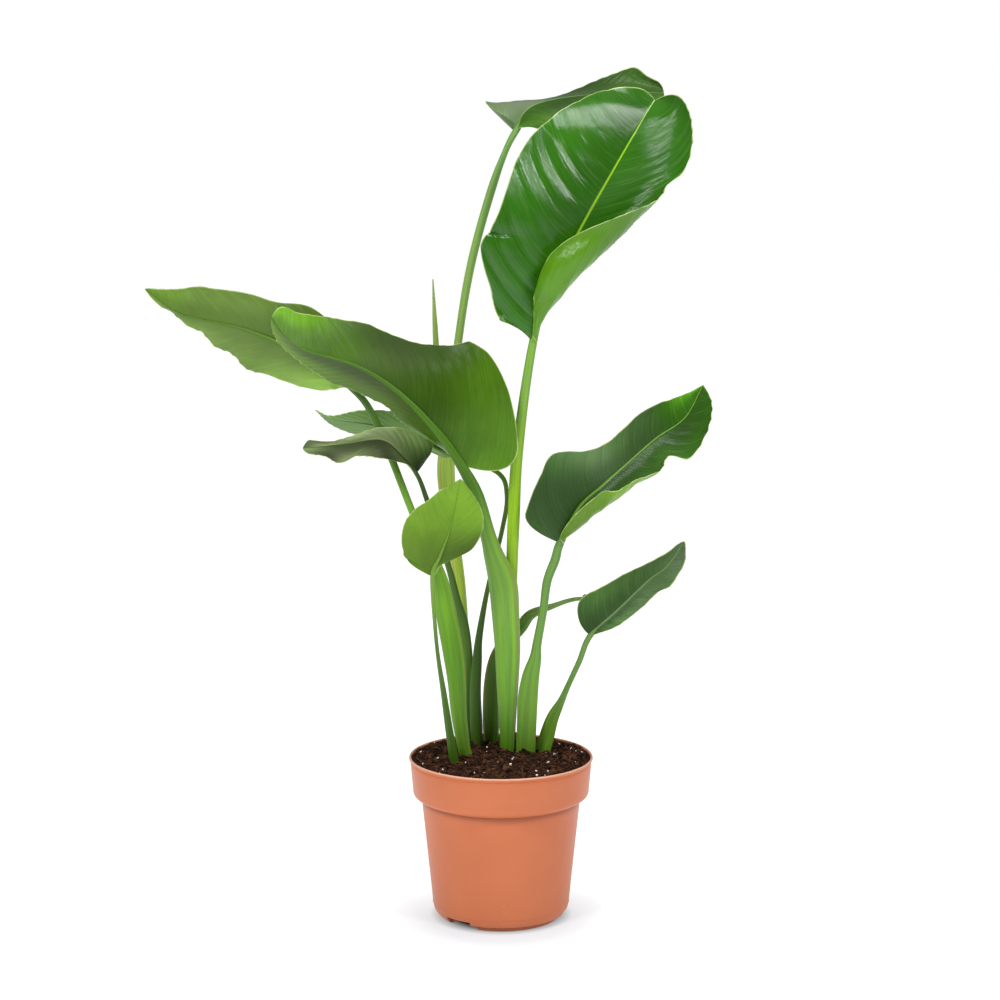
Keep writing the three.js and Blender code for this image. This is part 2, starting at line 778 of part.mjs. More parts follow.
// A stem: an oval or crescent section swept along its rows, from the first to the share endsAt.
// grow widens it and leaves out the groove, for the hole in the soil.
function sweptStem(rows, open, stations, grow = 0, endsAt = 1) {
  const even = evenly((t) => rowAlong(rows, t), stations).rows;
  const kept = even.slice(0, Math.round(stations * endsAt) + 1);
  const last = kept.length - 1;
  kept[0][2] -= grow;
  const points = kept.flatMap((row, i) => {
    const next = toVector(kept[Math.min(i + 1, last)]);
    const forward = next.sub(toVector(kept[Math.max(i - 1, 0)])).normalize();
    const up = toVector(open);
    up.addScaledVector(forward, -up.dot(forward)).normalize();
    const right = forward.clone().cross(up);
    const [, , , width, depth, groove] = row;
    return Array.from({ length: STEM_SIDES }, (_, k) => {
      const turn = (2 * Math.PI * k) / STEM_SIDES;
      const high = Math.sin(turn) > 0 && !grow ? 1 - groove : 1;
      return toVector(row)
        .addScaledVector(right, (width / 2 + grow) * Math.cos(turn))
        .addScaledVector(up, (depth / 2 + grow) * Math.sin(turn) * high);
    });
  });
  const at = (s, k) => s * STEM_SIDES + (k % STEM_SIDES);
  const faces = [];
  for (let s = 0; s < last; s++) {
    for (let k = 0; k < STEM_SIDES; k++) {
      faces.push([at(s, k), at(s, k + 1), at(s + 1, k + 1)]);
      faces.push([at(s, k), at(s + 1, k + 1), at(s + 1, k)]);
    }
  }
  for (let k = 0; k < STEM_SIDES / 2; k++) {
    const other = STEM_SIDES - k;
    faces.push([at(0, k), at(0, other - 1), at(0, k + 1)]);
    faces.push([at(0, k), at(0, other), at(0, other - 1)]);
    faces.push([at(last, k), at(last, k + 1), at(last, other - 1)]);
    faces.push([at(last, k), at(last, other - 1), at(last, other)]);
  }
  return solid(geometryFrom(points, faces));
}

// The stem's rows with a straight foot down into the soil.
function rooted(leaf) {
  const [x, y, z, width, depth, groove] = leaf.stem[0];
  const foot = [x, y, z - ROOT_DEPTH, width * ROOT_SHARE, depth * ROOT_SHARE, groove];
  return [foot, ...leaf.stem];
}

// A leaf's stem, cut off square just before its blade begins.
function stem(leaf) {
  const { here, up, right } = bladeAxes(leaf, midrib(leaf), -(leaf.joint ?? JOINT_GAP));
  const back = right.cross(up);
  const whole = sweptStem(rooted(leaf), leaf.open, STEM_STATIONS);
  return whole.trimByPlane(back.toArray(), back.dot(here));
}

// A profile of radius and height turned about the Z axis. It starts and ends on the axis.
function turned(profile) {
  const points = profile.map(([radius, height]) => new THREE.Vector2(radius, height));
  return new THREE.LatheGeometry(points, POT_SIDES).rotateX(Math.PI / 2);
}

// A box along the radius from one radius to another, its top at a height and its bottom a little below
// the ground, turned to an angle in degrees.
function radialBox(angle, from, to, width, top) {
  const box = new THREE.BoxGeometry(to - from, width, top + BELOW_GROUND);
  return solid(box.translate((from + to) / 2, 0, (top - BELOW_GROUND) / 2).rotateZ(radians(angle)));
}

// The pot: a turned shell with notches in its foot. Over each notch the corner of the wall is open,
// and behind it there is a channel and a drain hole.
function pot() {
  let made = solid(turned([[0, 0], ...OUTER, ...INNER, [0, FLOOR_TOP]]));
  const notchWidth = 2 * FOOT_RADIUS * Math.sin(radians(NOTCH_TURN / 2));
  const openingWidth = 2 * NOTCH_END * Math.sin(radians(OPENING_TURN / 2));
  for (let k = 0; k < NOTCHES; k++) {
    const angle = NOTCH_ANGLE + (360 / NOTCHES) * k;
    const notch = radialBox(angle, NOTCH_START, NOTCH_END, notchWidth, NOTCH_HEIGHT);
    const opening = radialBox(angle, OPENING_START, NOTCH_END, openingWidth, OPENING_HEIGHT);
    const channel = radialBox(angle, CHANNEL_START, FOOT_RADIUS, CHANNEL_WIDTH, NOTCH_HEIGHT);
    const drain = new THREE.CylinderGeometry(DRAIN_RADIUS, DRAIN_RADIUS, 4 * FLOOR_TOP, DRAIN_SIDES);
    drain.rotateX(Math.PI / 2).translate(DRAIN_AT, 0, 0).rotateZ(radians(angle));
    made = made.subtract(notch).subtract(opening).subtract(channel).subtract(solid(drain));
  }
  return made;
}

// The soil's uneven top: a low mound with small lumps.
function soilRise(x, y) {
  const out = Math.hypot(x, y) / SOIL_RINGS[0];
  const [perX, startX] = BROAD_ALONG_X;
  const [perY, startY] = BROAD_ALONG_Y;
  const broad = Math.sin(perX * x + startX) * Math.cos(perY * y + startY);
  const small = Math.sin(SMALL_WAVES[0] * x + SMALL_WAVES[1] * y);
  const lumps = broad + SMALL_SHARE * small;
  return SOIL_MOUND * (1 - out * out) + SOIL_LUMP * lumps * (1 - out ** SOIL_EDGE_POWER);
}

// The soil fills the pot and has a plain hole for each stem.
function soil() {
  const floor = FLOOR_TOP + GAP;
  const wall = INNER.filter(([, height]) => height < SOIL_LEVEL)
    .map(([radius, height]) => [radius - GAP, Math.max(height, floor)])
    .reverse();
  const rings = [...SOIL_RINGS, 0].map((radius) => [radius, SOIL_LEVEL]);
  const geometry = turned([[0, floor], ...wall, ...rings]);
  const points = geometry.getAttribute("position");
  for (let i = 0; i < points.count; i++) {
    const top = Math.abs(points.getZ(i) - SOIL_LEVEL) < SAME_LEVEL;
    if (top) points.setZ(i, SOIL_LEVEL + soilRise(points.getX(i), points.getY(i)));
  }
  let made = solid(geometry);
  for (const leaf of Object.values(LEAVES)) {
    made = made.subtract(sweptStem(rooted(leaf), leaf.open, STEM_STATIONS, GAP, HOLE_SHARE));
  }
  return made;
}

// A solid as a named mesh with its own material.
function mesh(name, made, color, roughness) {
  const { numProp, numVert, vertProperties, triVerts } = made.getMesh();
  const positions = new Float32Array(numVert * 3);
  for (let i = 0; i < numVert; i++) {
    positions.set(vertProperties.subarray(i * numProp, i * numProp + 3), i * 3);
  }
  const geometry = new THREE.BufferGeometry();
  geometry.setAttribute("position", new THREE.BufferAttribute(positions, 3));
  geometry.setIndex(new THREE.BufferAttribute(triVerts, 1));
  geometry.computeVertexNormals();
  const part = new THREE.Mesh(geometry, new THREE.MeshStandardMaterial({ color, roughness }));
  part.name = name;
  return part;
}

const plant = new THREE.Group();
plant.add(mesh("pot", pot(), 0xd7835e, 0.5));
plant.add(mesh("soil", soil(), 0x2e1c12, 0.95));
for (const [name, leaf] of Object.entries(LEAVES)) {
  const wholeLeaf = new THREE.Group();
  wholeLeaf.add(mesh(name + "_stem", stem(leaf), 0x7ea544, 0.45));
  wholeLeaf.add(mesh(name + "_blade", blade(leaf), leaf.color, 0.35));
  plant.add(wholeLeaf);
}
plant.add(mesh("spear", sweptStem(SPEAR, SPEAR_OPEN, SPEAR_STATIONS), 0xa9c46a, 0.4));

export default plant;
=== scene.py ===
# %% [markdown]
# # A young bird of paradise in its nursery pot
#
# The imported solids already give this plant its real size: a 19 cm plastic pot, soil, ten leaves on
# long stalks and one new leaf that is still rolled up. This notebook dresses them. Every piece is a
# surface worked out with numpy, so its shape is a formula with a few readable numbers, and every
# finish is a procedural material. Lengths of the plant are written in millimetres, as a gardener
# would measure it, and turned into metres when a mesh is made.

# %% Load the frame
import math

import bmesh
import bpy
import numpy as np
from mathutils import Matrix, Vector


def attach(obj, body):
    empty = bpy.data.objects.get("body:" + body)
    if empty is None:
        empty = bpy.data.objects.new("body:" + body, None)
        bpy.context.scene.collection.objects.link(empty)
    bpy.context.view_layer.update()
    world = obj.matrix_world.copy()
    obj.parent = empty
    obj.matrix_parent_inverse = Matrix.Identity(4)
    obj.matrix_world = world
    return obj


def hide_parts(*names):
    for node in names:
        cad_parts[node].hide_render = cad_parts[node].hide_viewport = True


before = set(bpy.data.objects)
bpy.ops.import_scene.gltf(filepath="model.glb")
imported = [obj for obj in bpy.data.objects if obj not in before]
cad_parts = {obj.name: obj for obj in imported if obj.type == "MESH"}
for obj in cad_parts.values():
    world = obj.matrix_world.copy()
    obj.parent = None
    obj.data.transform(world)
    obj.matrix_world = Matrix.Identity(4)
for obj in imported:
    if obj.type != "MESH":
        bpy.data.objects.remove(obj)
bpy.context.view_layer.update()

MM = 0.001

# %% [markdown]
# ## Camera
#
# The photograph was taken with a long lens from a little above the leaves' middle, looking down by
# less than nine degrees, so the pot's lip shows as a narrow ellipse. A camera could be aimed at an
# object, but a place, a tilt and a lens are plain numbers that the lip and the foot of the pot fix.

# %% Camera
CAMERA_AT = (-0.001, -2.4712, 0.81215)
CAMERA_TILT = 81.3
LENS, SENSOR = 88.8, 36

camera_data = bpy.data.cameras.new("camera")
camera_data.lens = LENS
camera_data.sensor_width = SENSOR
camera = bpy.data.objects.new("camera", camera_data)
camera.location = CAMERA_AT
camera.rotation_euler = (math.radians(CAMERA_TILT), 0, 0)
bpy.context.scene.collection.objects.link(camera)
bpy.context.scene.camera = camera
bpy.context.scene.view_settings.view_transform = "Standard"
print("camera at", CAMERA_AT, "lens", LENS)

# %% [markdown]
# ## Helpers for finishes
#
# A finish is a tree of nodes: numbers and colours that flow into one shader. Drawn by hand it is hard
# to read later. In code a few helpers turn it into a recipe instead: each one adds a node beside the
# shader, links what it is given and returns its output, so a whole finish reads from top to bottom.


# %% Colours
def rgb(red, green, blue):
    """A colour given as in a picture (0 to 255) as the linear colour that light adds up in:
    (c / 255 + 0.055) / 1.055, raised to 2.4, or c / 255 / 12.92 where the colour is very dark."""
    share = np.array([red, green, blue]) / 255
    linear = np.where(share > 0.04045, ((share + 0.055) / 1.055) ** 2.4, share / 12.92)
    return (*linear.tolist(), 1.0)


print("white as light:", rgb(255, 255, 255))


# %% Shader and nodes
def new_material(name, roughness, specular=0.5):
    """A material with one Principled shader. Returns the material and its shader node."""
    material = bpy.data.materials.new(name)
    material.use_nodes = True
    tree = material.node_tree
    tree.nodes.clear()
    shader = tree.nodes.new("ShaderNodeBsdfPrincipled")
    shader.inputs["Roughness"].default_value = roughness
    shader.inputs["Specular IOR Level"].default_value = specular
    output = tree.nodes.new("ShaderNodeOutputMaterial")
    tree.links.new(shader.outputs["BSDF"], output.inputs["Surface"])
    return material, shader


def node(shader, kind, inputs, result=0, **settings):
    """Adds a node beside the shader. An input is a value, or the output of another node to link.
    Returns the node's output with the number or name in result."""
    tree = shader.id_data
    made = tree.nodes.new("ShaderNode" + kind)
    for key, value in settings.items():
        setattr(made, key, value)
    for key, value in inputs.items():
        if isinstance(value, bpy.types.NodeSocket):
            tree.links.new(value, made.inputs[key])
        else:
            made.inputs[key].default_value = value
    return made.outputs[result]


def put(shader, socket, output):
    """Links an output to one of the shader's own inputs."""
    shader.id_data.links.new(output, shader.inputs[socket])


def bump(shader, height, depth):
    """Tilts the shading as if the surface rose by depth metres where height is 1."""
    put(shader, "Normal", node(shader, "Bump", {"Height": height, "Distance": depth}, result="Normal"))


print("materials before the first piece:", len(bpy.data.materials))


# %% Sums of numbers and colours
def maths(shader, operation, a, b=0.0, c=0.0, clamp=False):
    """One sum of numbers or outputs, such as ADD, POWER or, with a third one, MULTIPLY_ADD: a b + c."""
    return node(shader, "Math", {0: a, 1: b, 2: c}, operation=operation, use_clamp=clamp)


def mix(shader, share, a, b, blend="MIX"):
    """Colour a, or colour b where share is 1. Sockets 0, 6 and 7 of a Mix node are the colour ones."""
    return node(shader, "Mix", {0: share, 6: a, 7: b}, result=2, data_type="RGBA", blend_type=blend)


def over(shader, colour, share, strength, tint, blend="MIX"):
    """The colour with a tint laid over it: by strength where share is 1, not at all where it is 0."""
    return mix(shader, maths(shader, "MULTIPLY", share, strength), colour, tint, blend)


def step_up(shader, value, low, high):
    """0 where value is low or past it, 1 where it is high or past it, and an even slope between."""
    return node(shader, "MapRange", {"Value": value, "From Min": low, "From Max": high})


def scaled(shader, value, low, high):
    """A value from 0 to 1 brought to the range from low to high."""
    return node(shader, "MapRange", {"Value": value, "To Min": low, "To Max": high})


def along(shader, share, colours):
    """Colours spaced evenly from share 0 to 1, and blended smoothly between."""
    made = shader.id_data.nodes.new("ShaderNodeValToRGB")
    made.color_ramp.interpolation = "EASE"
    stops = made.color_ramp.elements
    stops[0].color, stops[1].color = rgb(*colours[0]), rgb(*colours[-1])
    for k, colour in enumerate(colours[1:-1], 1):
        stops.new(k / (len(colours) - 1)).color = rgb(*colour)
    shader.id_data.links.new(share, made.inputs[0])
    return made.outputs[0]


print("stops of a ramp of five colours:", [k / 4 for k in range(5)])


# %% Places and patterns
def place_of(shader):
    """Where a point of the piece lies, in metres."""
    return node(shader, "TexCoord", {}, result="Object")


def named(shader, *names):
    """The numbers that the mesh keeps at each vertex under these names."""
    found = [node(shader, "Attribute", {}, result="Fac", attribute_name=name) for name in names]
    return found if len(found) > 1 else found[0]


def stretched(shader, *parts):
    """A vector for a pattern: each part is a scale and the number that it multiplies."""
    scales = {k: maths(shader, "MULTIPLY", value, scale) for k, (scale, value) in enumerate(parts)}
    return node(shader, "CombineXYZ", scales)


def noise(shader, vector, scale, detail=2.0, rough=0.5, kind="3D"):
    """Soft random numbers round 0.5, at scale bumps a metre."""
    numbers = {"Vector": vector, "Scale": scale, "Detail": detail, "Roughness": rough}
    return node(shader, "TexNoise", numbers, noise_dimensions=kind)


print("terracotta as light:", [round(c, 3) for c in rgb(215, 131, 94)[:3]])

# %% [markdown]
# ## Helpers for shapes
#
# Nearly every piece here is a grid of points that was bent: a row of the grid is a ring of the pot, a
# ring of a stalk or a line across a leaf. So one helper numbers the faces of a grid, one closes a
# tube at both ends and one makes the mesh. Soft steps and smooth lumps are the two formulas that
# nature asks for most, because little on a plant starts or stops at once.


# %% Making a piece
def new_piece(name, points, faces, material, uv=None, numbers=None, sharp=40.0):
    """A mesh from points in millimetres and faces, each a row of point numbers.
    uv gives one pair a point, in metres, and numbers gives named values a point, for the material."""
    mesh = bpy.data.meshes.new(name)
    corners_of_faces = [tuple(face) for group in faces for face in group.tolist()]
    mesh.from_pydata(points.reshape(-1, 3) * MM, [], corners_of_faces)
    if uv is not None:
        corners = np.empty(len(mesh.loops), np.int32)
        mesh.loops.foreach_get("vertex_index", corners)
        mesh.uv_layers.new(name="leaf").data.foreach_set("uv", uv.reshape(-1, 2)[corners].ravel())
    for key, values in (numbers or {}).items():
        attribute = mesh.attributes.new(key, "FLOAT", "POINT")
        attribute.data.foreach_set("value", np.asarray(values, np.float32).ravel())
    mesh.polygons.foreach_set("use_smooth", [True] * len(mesh.polygons))
    mesh.set_sharp_from_angle(angle=math.radians(sharp))
    mesh.materials.append(material)
    piece = bpy.data.objects.new(name, mesh)
    bpy.context.scene.collection.objects.link(piece)
    return piece


def place_piece(piece, slot, *nodes):
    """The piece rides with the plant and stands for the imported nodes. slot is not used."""
    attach(piece, "root")
    if nodes:
        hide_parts(*nodes)
    triangles = sum(len(face.vertices) - 2 for face in piece.data.polygons)
    print(f"{piece.name}: {triangles} triangles")


# %% Grids and tubes
def grid_faces(rows, columns, start=0, wrap=False):
    """Four-sided faces of a grid of points, row after row. wrap joins the last column to the first."""
    row = np.arange(rows - 1)[:, None] * columns + start
    column = np.arange(columns if wrap else columns - 1)[None, :]
    following = (column + 1) % columns
    corners = [row + column, row + following, row + columns + following, row + columns + column]
    return np.stack(np.broadcast_arrays(*corners), axis=-1).reshape(-1, 4)


def closed_tube(points, poles=None):
    """A grid of rings of points, closed by one point at each end: the poles, or the middle of the
    first and of the last ring. Returns all points and the faces."""
    rings, sides = points.shape[:2]
    if poles is None:
        poles = points[[0, -1]].mean(axis=1)
    first = np.arange(sides)
    after = (first + 1) % sides
    last = (rings - 1) * sides
    low = rings * sides
    start = np.stack([np.full(sides, low), after, first], axis=1)
    end = np.stack([np.full(sides, low + 1), last + first, last + after], axis=1)
    faces = [grid_faces(rings, sides, wrap=True), start, end]
    return np.concatenate([points.reshape(-1, 3), poles]), faces


def circle(sides):
    """Angles that go evenly round a circle, in radians, without the last one that would be the first."""
    return np.linspace(0, 2 * np.pi, sides, endpoint=False)


print("a grid of 3 by 3 points has", len(grid_faces(3, 3)), "faces")


# %% Soft steps and lumps
LUMP_TABLE = 64


def unit(vectors):
    """Vectors of length 1: each one divided by its length."""
    return vectors / np.maximum(np.linalg.norm(vectors, axis=-1, keepdims=True), 1e-9)


def ease(low, high, x):
    """0 below low, 1 above high, and 3t² - 2t³ between, which starts and ends level."""
    t = np.clip((x - low) / (high - low), 0, 1)
    return t * t * (3 - 2 * t)


def lumps(x, y, cell, seed):
    """Random heights from -1 to 1 that change smoothly over cells of this size: a random number at
    each corner of a grid, blended between the corners with 3t² - 2t³."""
    table = np.random.default_rng(seed).uniform(-1, 1, (LUMP_TABLE, LUMP_TABLE))
    i, j = np.floor(x / cell).astype(int), np.floor(y / cell).astype(int)
    across, up = ease(0, 1, x / cell - i), ease(0, 1, y / cell - j)
    left, right = i % LUMP_TABLE, (i + 1) % LUMP_TABLE
    low, high = j % LUMP_TABLE, (j + 1) % LUMP_TABLE
    near = table[left, low] * (1 - across) + table[right, low] * across
    far = table[left, high] * (1 - across) + table[right, high] * across
    return near * (1 - up) + far * up


print("a soft step halfway up:", ease(0, 1, 0.5))

# %% [markdown]
# ## Floor and light
#
# The pot stands on a pale sweep that melts into the white behind it, with only a small soft shade
# round its foot. A plain white floor would turn grey, since soft light is weaker than a white
# picture needs, so the floor glows by itself: fully far away, less near the pot and not at all under it,
# where the notches have to look dark. That falling glow is painted shade: it deepens the soft shade
# round the foot and darkens what the notches show of the floor under the pot. Three soft boxes and a
# weak white sky light the plant: a big one at the front left, one overhead for the pale sheen on the
# leaves, a small one at the front right.

# %% Floor
FLOOR_HALF = 9000
FLOOR_COLOUR = rgb(150, 155, 162)
# Painted shade in the floor's glow: its centre, the distances over which it fades, the step to no glow
# under the pot, and the glow left near it.
SHADE_CENTRE = (0, -0.03, 0)
FADE_FROM, FADE_TO = 0.065, 0.17
FOOT_SHADE, FOOT_LIGHT = 0.05, 0.074
GLOW_NEAR = 0.61


def floor_finish():
    """Matt grey that glows: by GLOW_NEAR + (1 - GLOW_NEAR) (fade away from the shade's centre), times
    a step from the dark under the pot to the open floor. The glow held down near and under the pot is
    painted shade."""
    material, shader = new_material("pale_floor", 0.7, 0.2)
    shader.inputs["Base Color"].default_value = FLOOR_COLOUR
    shader.inputs["Emission Color"].default_value = rgb(255, 255, 255)
    place = place_of(shader)
    ends = {0: place, 1: SHADE_CENTRE}
    from_shade = node(shader, "VectorMath", ends, result="Value", operation="DISTANCE")
    from_pot = node(shader, "VectorMath", {0: place}, result="Value", operation="LENGTH")
    # Painted shade: the glow is held down round the foot and switched off under the pot.
    fade = step_up(shader, from_shade, FADE_FROM, FADE_TO)
    glow = maths(shader, "MULTIPLY_ADD", fade, 1 - GLOW_NEAR, GLOW_NEAR)
    in_the_open = step_up(shader, from_pot, FOOT_SHADE, FOOT_LIGHT)
    put(shader, "Emission Strength", maths(shader, "MULTIPLY", glow, in_the_open))
    return material


floor_corners = np.array([[-1, -1, 0], [1, -1, 0], [1, 1, 0], [-1, 1, 0]]) * FLOOR_HALF
floor = new_piece("floor", floor_corners, [np.array([[0, 1, 2, 3]])], floor_finish())
print("floor, half its width in mm:", FLOOR_HALF)

# %% Soft boxes
AIM = Vector((0.0, 0.0, 0.45))
# Place in metres, side in metres and power in watts.
SOFT_BOXES = {
    "front_left": ((-1.35, -1.7, 2.15), 0.7, 34),
    "overhead": ((0.1, -0.15, 2.5), 0.8, 25),
    "front_right": ((1.5, -1.5, 2.2), 0.42, 24),
}
for name, (place, side, watts) in SOFT_BOXES.items():
    light = bpy.data.lights.new(name, "AREA")
    light.size = side
    light.energy = watts
    box = bpy.data.objects.new(name, light)
    box.location = place
    box.rotation_euler = (AIM - Vector(place)).to_track_quat("-Z", "Y").to_euler()
    bpy.context.scene.collection.objects.link(box)
print("soft boxes:", len(SOFT_BOXES))

# %% Sky
SKY_LIGHT = 0.215

world = bpy.data.worlds.new("white_studio")
world.use_nodes = True
bpy.context.scene.world = world
sky = world.node_tree.nodes["Background"]
sky.inputs["Color"].default_value = (1, 1, 1, 1)
seen = world.node_tree.nodes.new("ShaderNodeLightPath")
sky_share = world.node_tree.nodes.new("ShaderNodeMapRange")
sky_share.inputs["To Min"].default_value = SKY_LIGHT
world.node_tree.links.new(seen.outputs["Is Camera Ray"], sky_share.inputs["Value"])
world.node_tree.links.new(sky_share.outputs["Result"], sky.inputs["Strength"])
print("sky: white behind the plant, and as light", SKY_LIGHT)

# %% [markdown]
# ## The pot
#
# A nursery pot is one thin moulded shell: a rolled lip, an almost upright band under it that lets
# pots stack, a tapered wall, and a foot ring with notches so that water can leave. It could be bent
# from a cylinder, but it is a profile of radius and height turned round the Z axis, which is the
# surface (r(s) cos a, r(s) sin a, z(s)), so its profile is all that has to be known.


# %% Turned surface
def arc(centre, radius, start, end, count):
    """Points on a circle in a profile, from one angle in degrees to another:
    (r, z) = centre + radius (cos, sin)."""
    angle = np.radians(np.linspace(start, end, count))
    return [(centre[0] + radius * math.cos(a), centre[1] + radius * math.sin(a)) for a in angle]


def turned(profile, sides):
    """Points and faces of a profile of (radius, height) turned round Z. It starts and ends on the
    axis, where the ring of points is one point, so the surface is closed at both poles."""
    ring = np.array(profile, float)[1:-1]
    x = ring[:, :1] * np.cos(circle(sides))
    y = ring[:, :1] * np.sin(circle(sides))
    z = np.broadcast_to(ring[:, 1:], x.shape)
    poles = np.array([[0, 0, profile[0][1]], [0, 0, profile[-1][1]]], float)
    return closed_tube(np.stack([x, y, z], axis=-1), poles)


print("a quarter circle ends at", arc((0, 0), 1, 0, 90, 5)[-1])

# %% Pot profile
POT_SIDES, POT_SHARP = 256, 28
LIP_RADIUS, LIP_HEIGHT, LIP_BEAD = 94.6, 168.0, 0.9
BAND_CENTRE, BAND_ROUND = (85.6, 132.0), 5.0
FOOT_RADIUS, NOTCH_HEIGHT, HOLLOW, FLOOR_TOP = 61.2, 4.2, 3.4, 6.5

foot_ring = [
    (0, HOLLOW), (FOOT_RADIUS - 4.2, HOLLOW), (FOOT_RADIUS - 3.4, 0.5), (FOOT_RADIUS - 2.8, 0),
    (FOOT_RADIUS - 0.6, 0), (FOOT_RADIUS, 0.6), (FOOT_RADIUS + 1.0, NOTCH_HEIGHT - 1.0),
    (FOOT_RADIUS + 0.8, NOTCH_HEIGHT - 0.3), (FOOT_RADIUS - 0.2, NOTCH_HEIGHT + 0.1),
    (FOOT_RADIUS + 0.2, NOTCH_HEIGHT + 0.5),
]
corner_and_wall = [
    (66.0, 4.9), (67.2, 5.4), (68.2, 6.6), (69.1, 8.2), (69.6, 10.2), (70.05, 12.4), (70.45, 14.0),
    (70.8, 14.35), (70.75, 15.0), (70.6, 15.5), (81.3, 119.5), (81.4, 122.8), (81.1, 125.6),
]
band = [
    (82.0, 126.0), (82.5, 124.9), (83.3, 125.0), (86.4, 126.9),
    *arc(BAND_CENTRE, BAND_ROUND, -58, -8, 7),
    (91.0, 136.5), (93.0, 159.8), (93.1, 162.6), (92.75, 163.5), (93.3, 164.2), (93.9, 164.7),
]
lip = [
    *arc((LIP_RADIUS - LIP_BEAD, LIP_HEIGHT - 1.6), LIP_BEAD + 0.05, -60, 30, 6),
    *arc((LIP_RADIUS - LIP_BEAD - 0.2, LIP_HEIGHT - LIP_BEAD), LIP_BEAD, 30, 110, 6),
]
inside = [
    (92.6, 167.6), (92.0, 166.0), (91.6, 163.0), (89.0, 134.5), (87.4, 131.0), (80.6, 129.0),
    (79.8, 121.0), (68.7, 14.0), (66.0, FLOOR_TOP), (0, FLOOR_TOP),
]
pot_profile = foot_ring + corner_and_wall + band + lip + inside
print("pot profile:", len(pot_profile), "points, mouth", 2 * LIP_RADIUS, "mm")

# %% [markdown]
# ### The pot's plastic
#
# The plastic is dyed right through, so its colour hardly changes: a faint cloudiness from the
# moulding, scuffs near the foot, and a surface that is smooth but not polished. Soft light makes
# broad, low highlights on it. What a picture of such a pot shows besides are four rings, each a band
# of heights here: a painted highlight on the lip's edge, painted shade for the dark line in the groove
# of the foot, and painted shade on the plastic just under the band. A painted texture could hold them
# too, but heights stay sharp.

# %% Pot plastic
TERRACOTTA, TERRACOTTA_CLOUD = rgb(209, 119, 77), rgb(201, 111, 69)
SCUFF_COLOUR, SCUFFS_UP_TO = rgb(222, 142, 104), 0.05
# A painted highlight on the lip, then painted shade in the foot's groove and under the band: heights in
# metres, colours and shares.
LIP_GLINT, GLINT_COLOUR, GLINT_SHARE = (0.1662, 0.1672), rgb(240, 184, 154), 0.8
GROOVE_HEIGHT, GROOVE_HALF, GROOVE_SHADE_COLOUR = 0.0039, 0.0012, rgb(110, 62, 44)
UNDER_BAND, BAND_FOOT = (0.114, 0.1245), 0.1247
BAND_SHADE_COLOUR, BAND_SHADE_SHARE = rgb(134, 74, 50), 0.55
MOULDING_BUMP = 0.00012


def pot_plastic():
    """Satin plastic: cloudy colour, pale scuffs near the foot, by height a painted highlight on the lip,
    painted shade in the groove and painted shade under the band, and a fine orange-peel bump."""
    material, shader = new_material("terracotta_plastic", 0.42, 0.32)
    place = place_of(shader)
    height = node(shader, "SeparateXYZ", {0: place}, result="Z")
    cloud = step_up(shader, noise(shader, place, scale=14, detail=3), 0.35, 0.75)
    colour = mix(shader, cloud, TERRACOTTA_CLOUD, TERRACOTTA)
    scuffs = step_up(shader, noise(shader, place, scale=160, detail=4, rough=0.65), 0.62, 0.8)
    near_foot = step_up(shader, height, SCUFFS_UP_TO, 0.0)
    colour = over(shader, colour, scuffs, near_foot, SCUFF_COLOUR)
    # Painted highlight along the lip's edge.
    colour = over(shader, colour, step_up(shader, height, *LIP_GLINT), GLINT_SHARE, GLINT_COLOUR)
    # Painted shade: a dark line in the groove between the foot ring and the wall.
    from_groove = maths(shader, "ABSOLUTE", maths(shader, "SUBTRACT", height, GROOVE_HEIGHT))
    colour = mix(shader, step_up(shader, from_groove, GROOVE_HALF, 0.0), colour, GROOVE_SHADE_COLOUR)
    # Painted shade under the overhang of the band, strongest right under it.
    band_shade_mask = maths(shader, "POWER", step_up(shader, height, *UNDER_BAND), 2.0)
    band_shade_mask = maths(shader, "MULTIPLY", band_shade_mask, maths(shader, "LESS_THAN", height, BAND_FOOT))
    put(shader, "Base Color", over(shader, colour, band_shade_mask, BAND_SHADE_SHARE, BAND_SHADE_COLOUR))
    grain = noise(shader, place, scale=900)
    waves = noise(shader, place, scale=40)
    bump(shader, maths(shader, "MULTIPLY_ADD", waves, 3.0, grain), MOULDING_BUMP)
    put(shader, "Roughness", scaled(shader, cloud, 0.36, 0.48))
    return material


pot = new_piece("pot_shell", *turned(pot_profile, POT_SIDES), pot_plastic(), sharp=POT_SHARP)
print("pot shell:", len(pot.data.vertices), "points")

# %% [markdown]
# ### Notches and drain holes
#
# The foot ring is broken by three notches. Over each one the corner of the wall is open too, and
# behind it a channel leads to a drain hole. None of them follows the turning, so they are cut out
# afterwards with plain boxes and cylinders, which is how the mould's own inserts leave them.

# %% Cutting
NOTCHES, NOTCH_ANGLE, NOTCH_TURN = 3, 230, 36
OPENING_TURN, OPENING_START, OPENING_HEIGHT = 25, 54.0, 9.2
NOTCH_INNER, NOTCH_OUTER = 56.0, 70.0
CHANNEL_START, CHANNEL_WIDTH = 28.0, 11.0
DRAIN_AT, DRAIN_RADIUS, DRAIN_SIDES = 46.0, 4.5, 32
CUT_BELOW, DRAIN_BELOW, DRAIN_ABOVE = -1, -2, 9
BOX_FACES = [[0, 2, 3, 1], [4, 5, 7, 6], [0, 1, 5, 4], [1, 3, 7, 5], [3, 2, 6, 7], [2, 0, 4, 6]]


def radial_box(angle, start, end, half, height):
    """Corners and faces of a box that lies along a radius of the pot, turned round Z by an angle."""
    sizes = [(x, y, z) for z in (CUT_BELOW, height) for y in (-half, half) for x in (start, end)]
    c, s = math.cos(math.radians(angle)), math.sin(math.radians(angle))
    spun = np.array(sizes) @ np.array([[c, s, 0], [-s, c, 0], [0, 0, 1]])
    return spun, [np.array(BOX_FACES)]


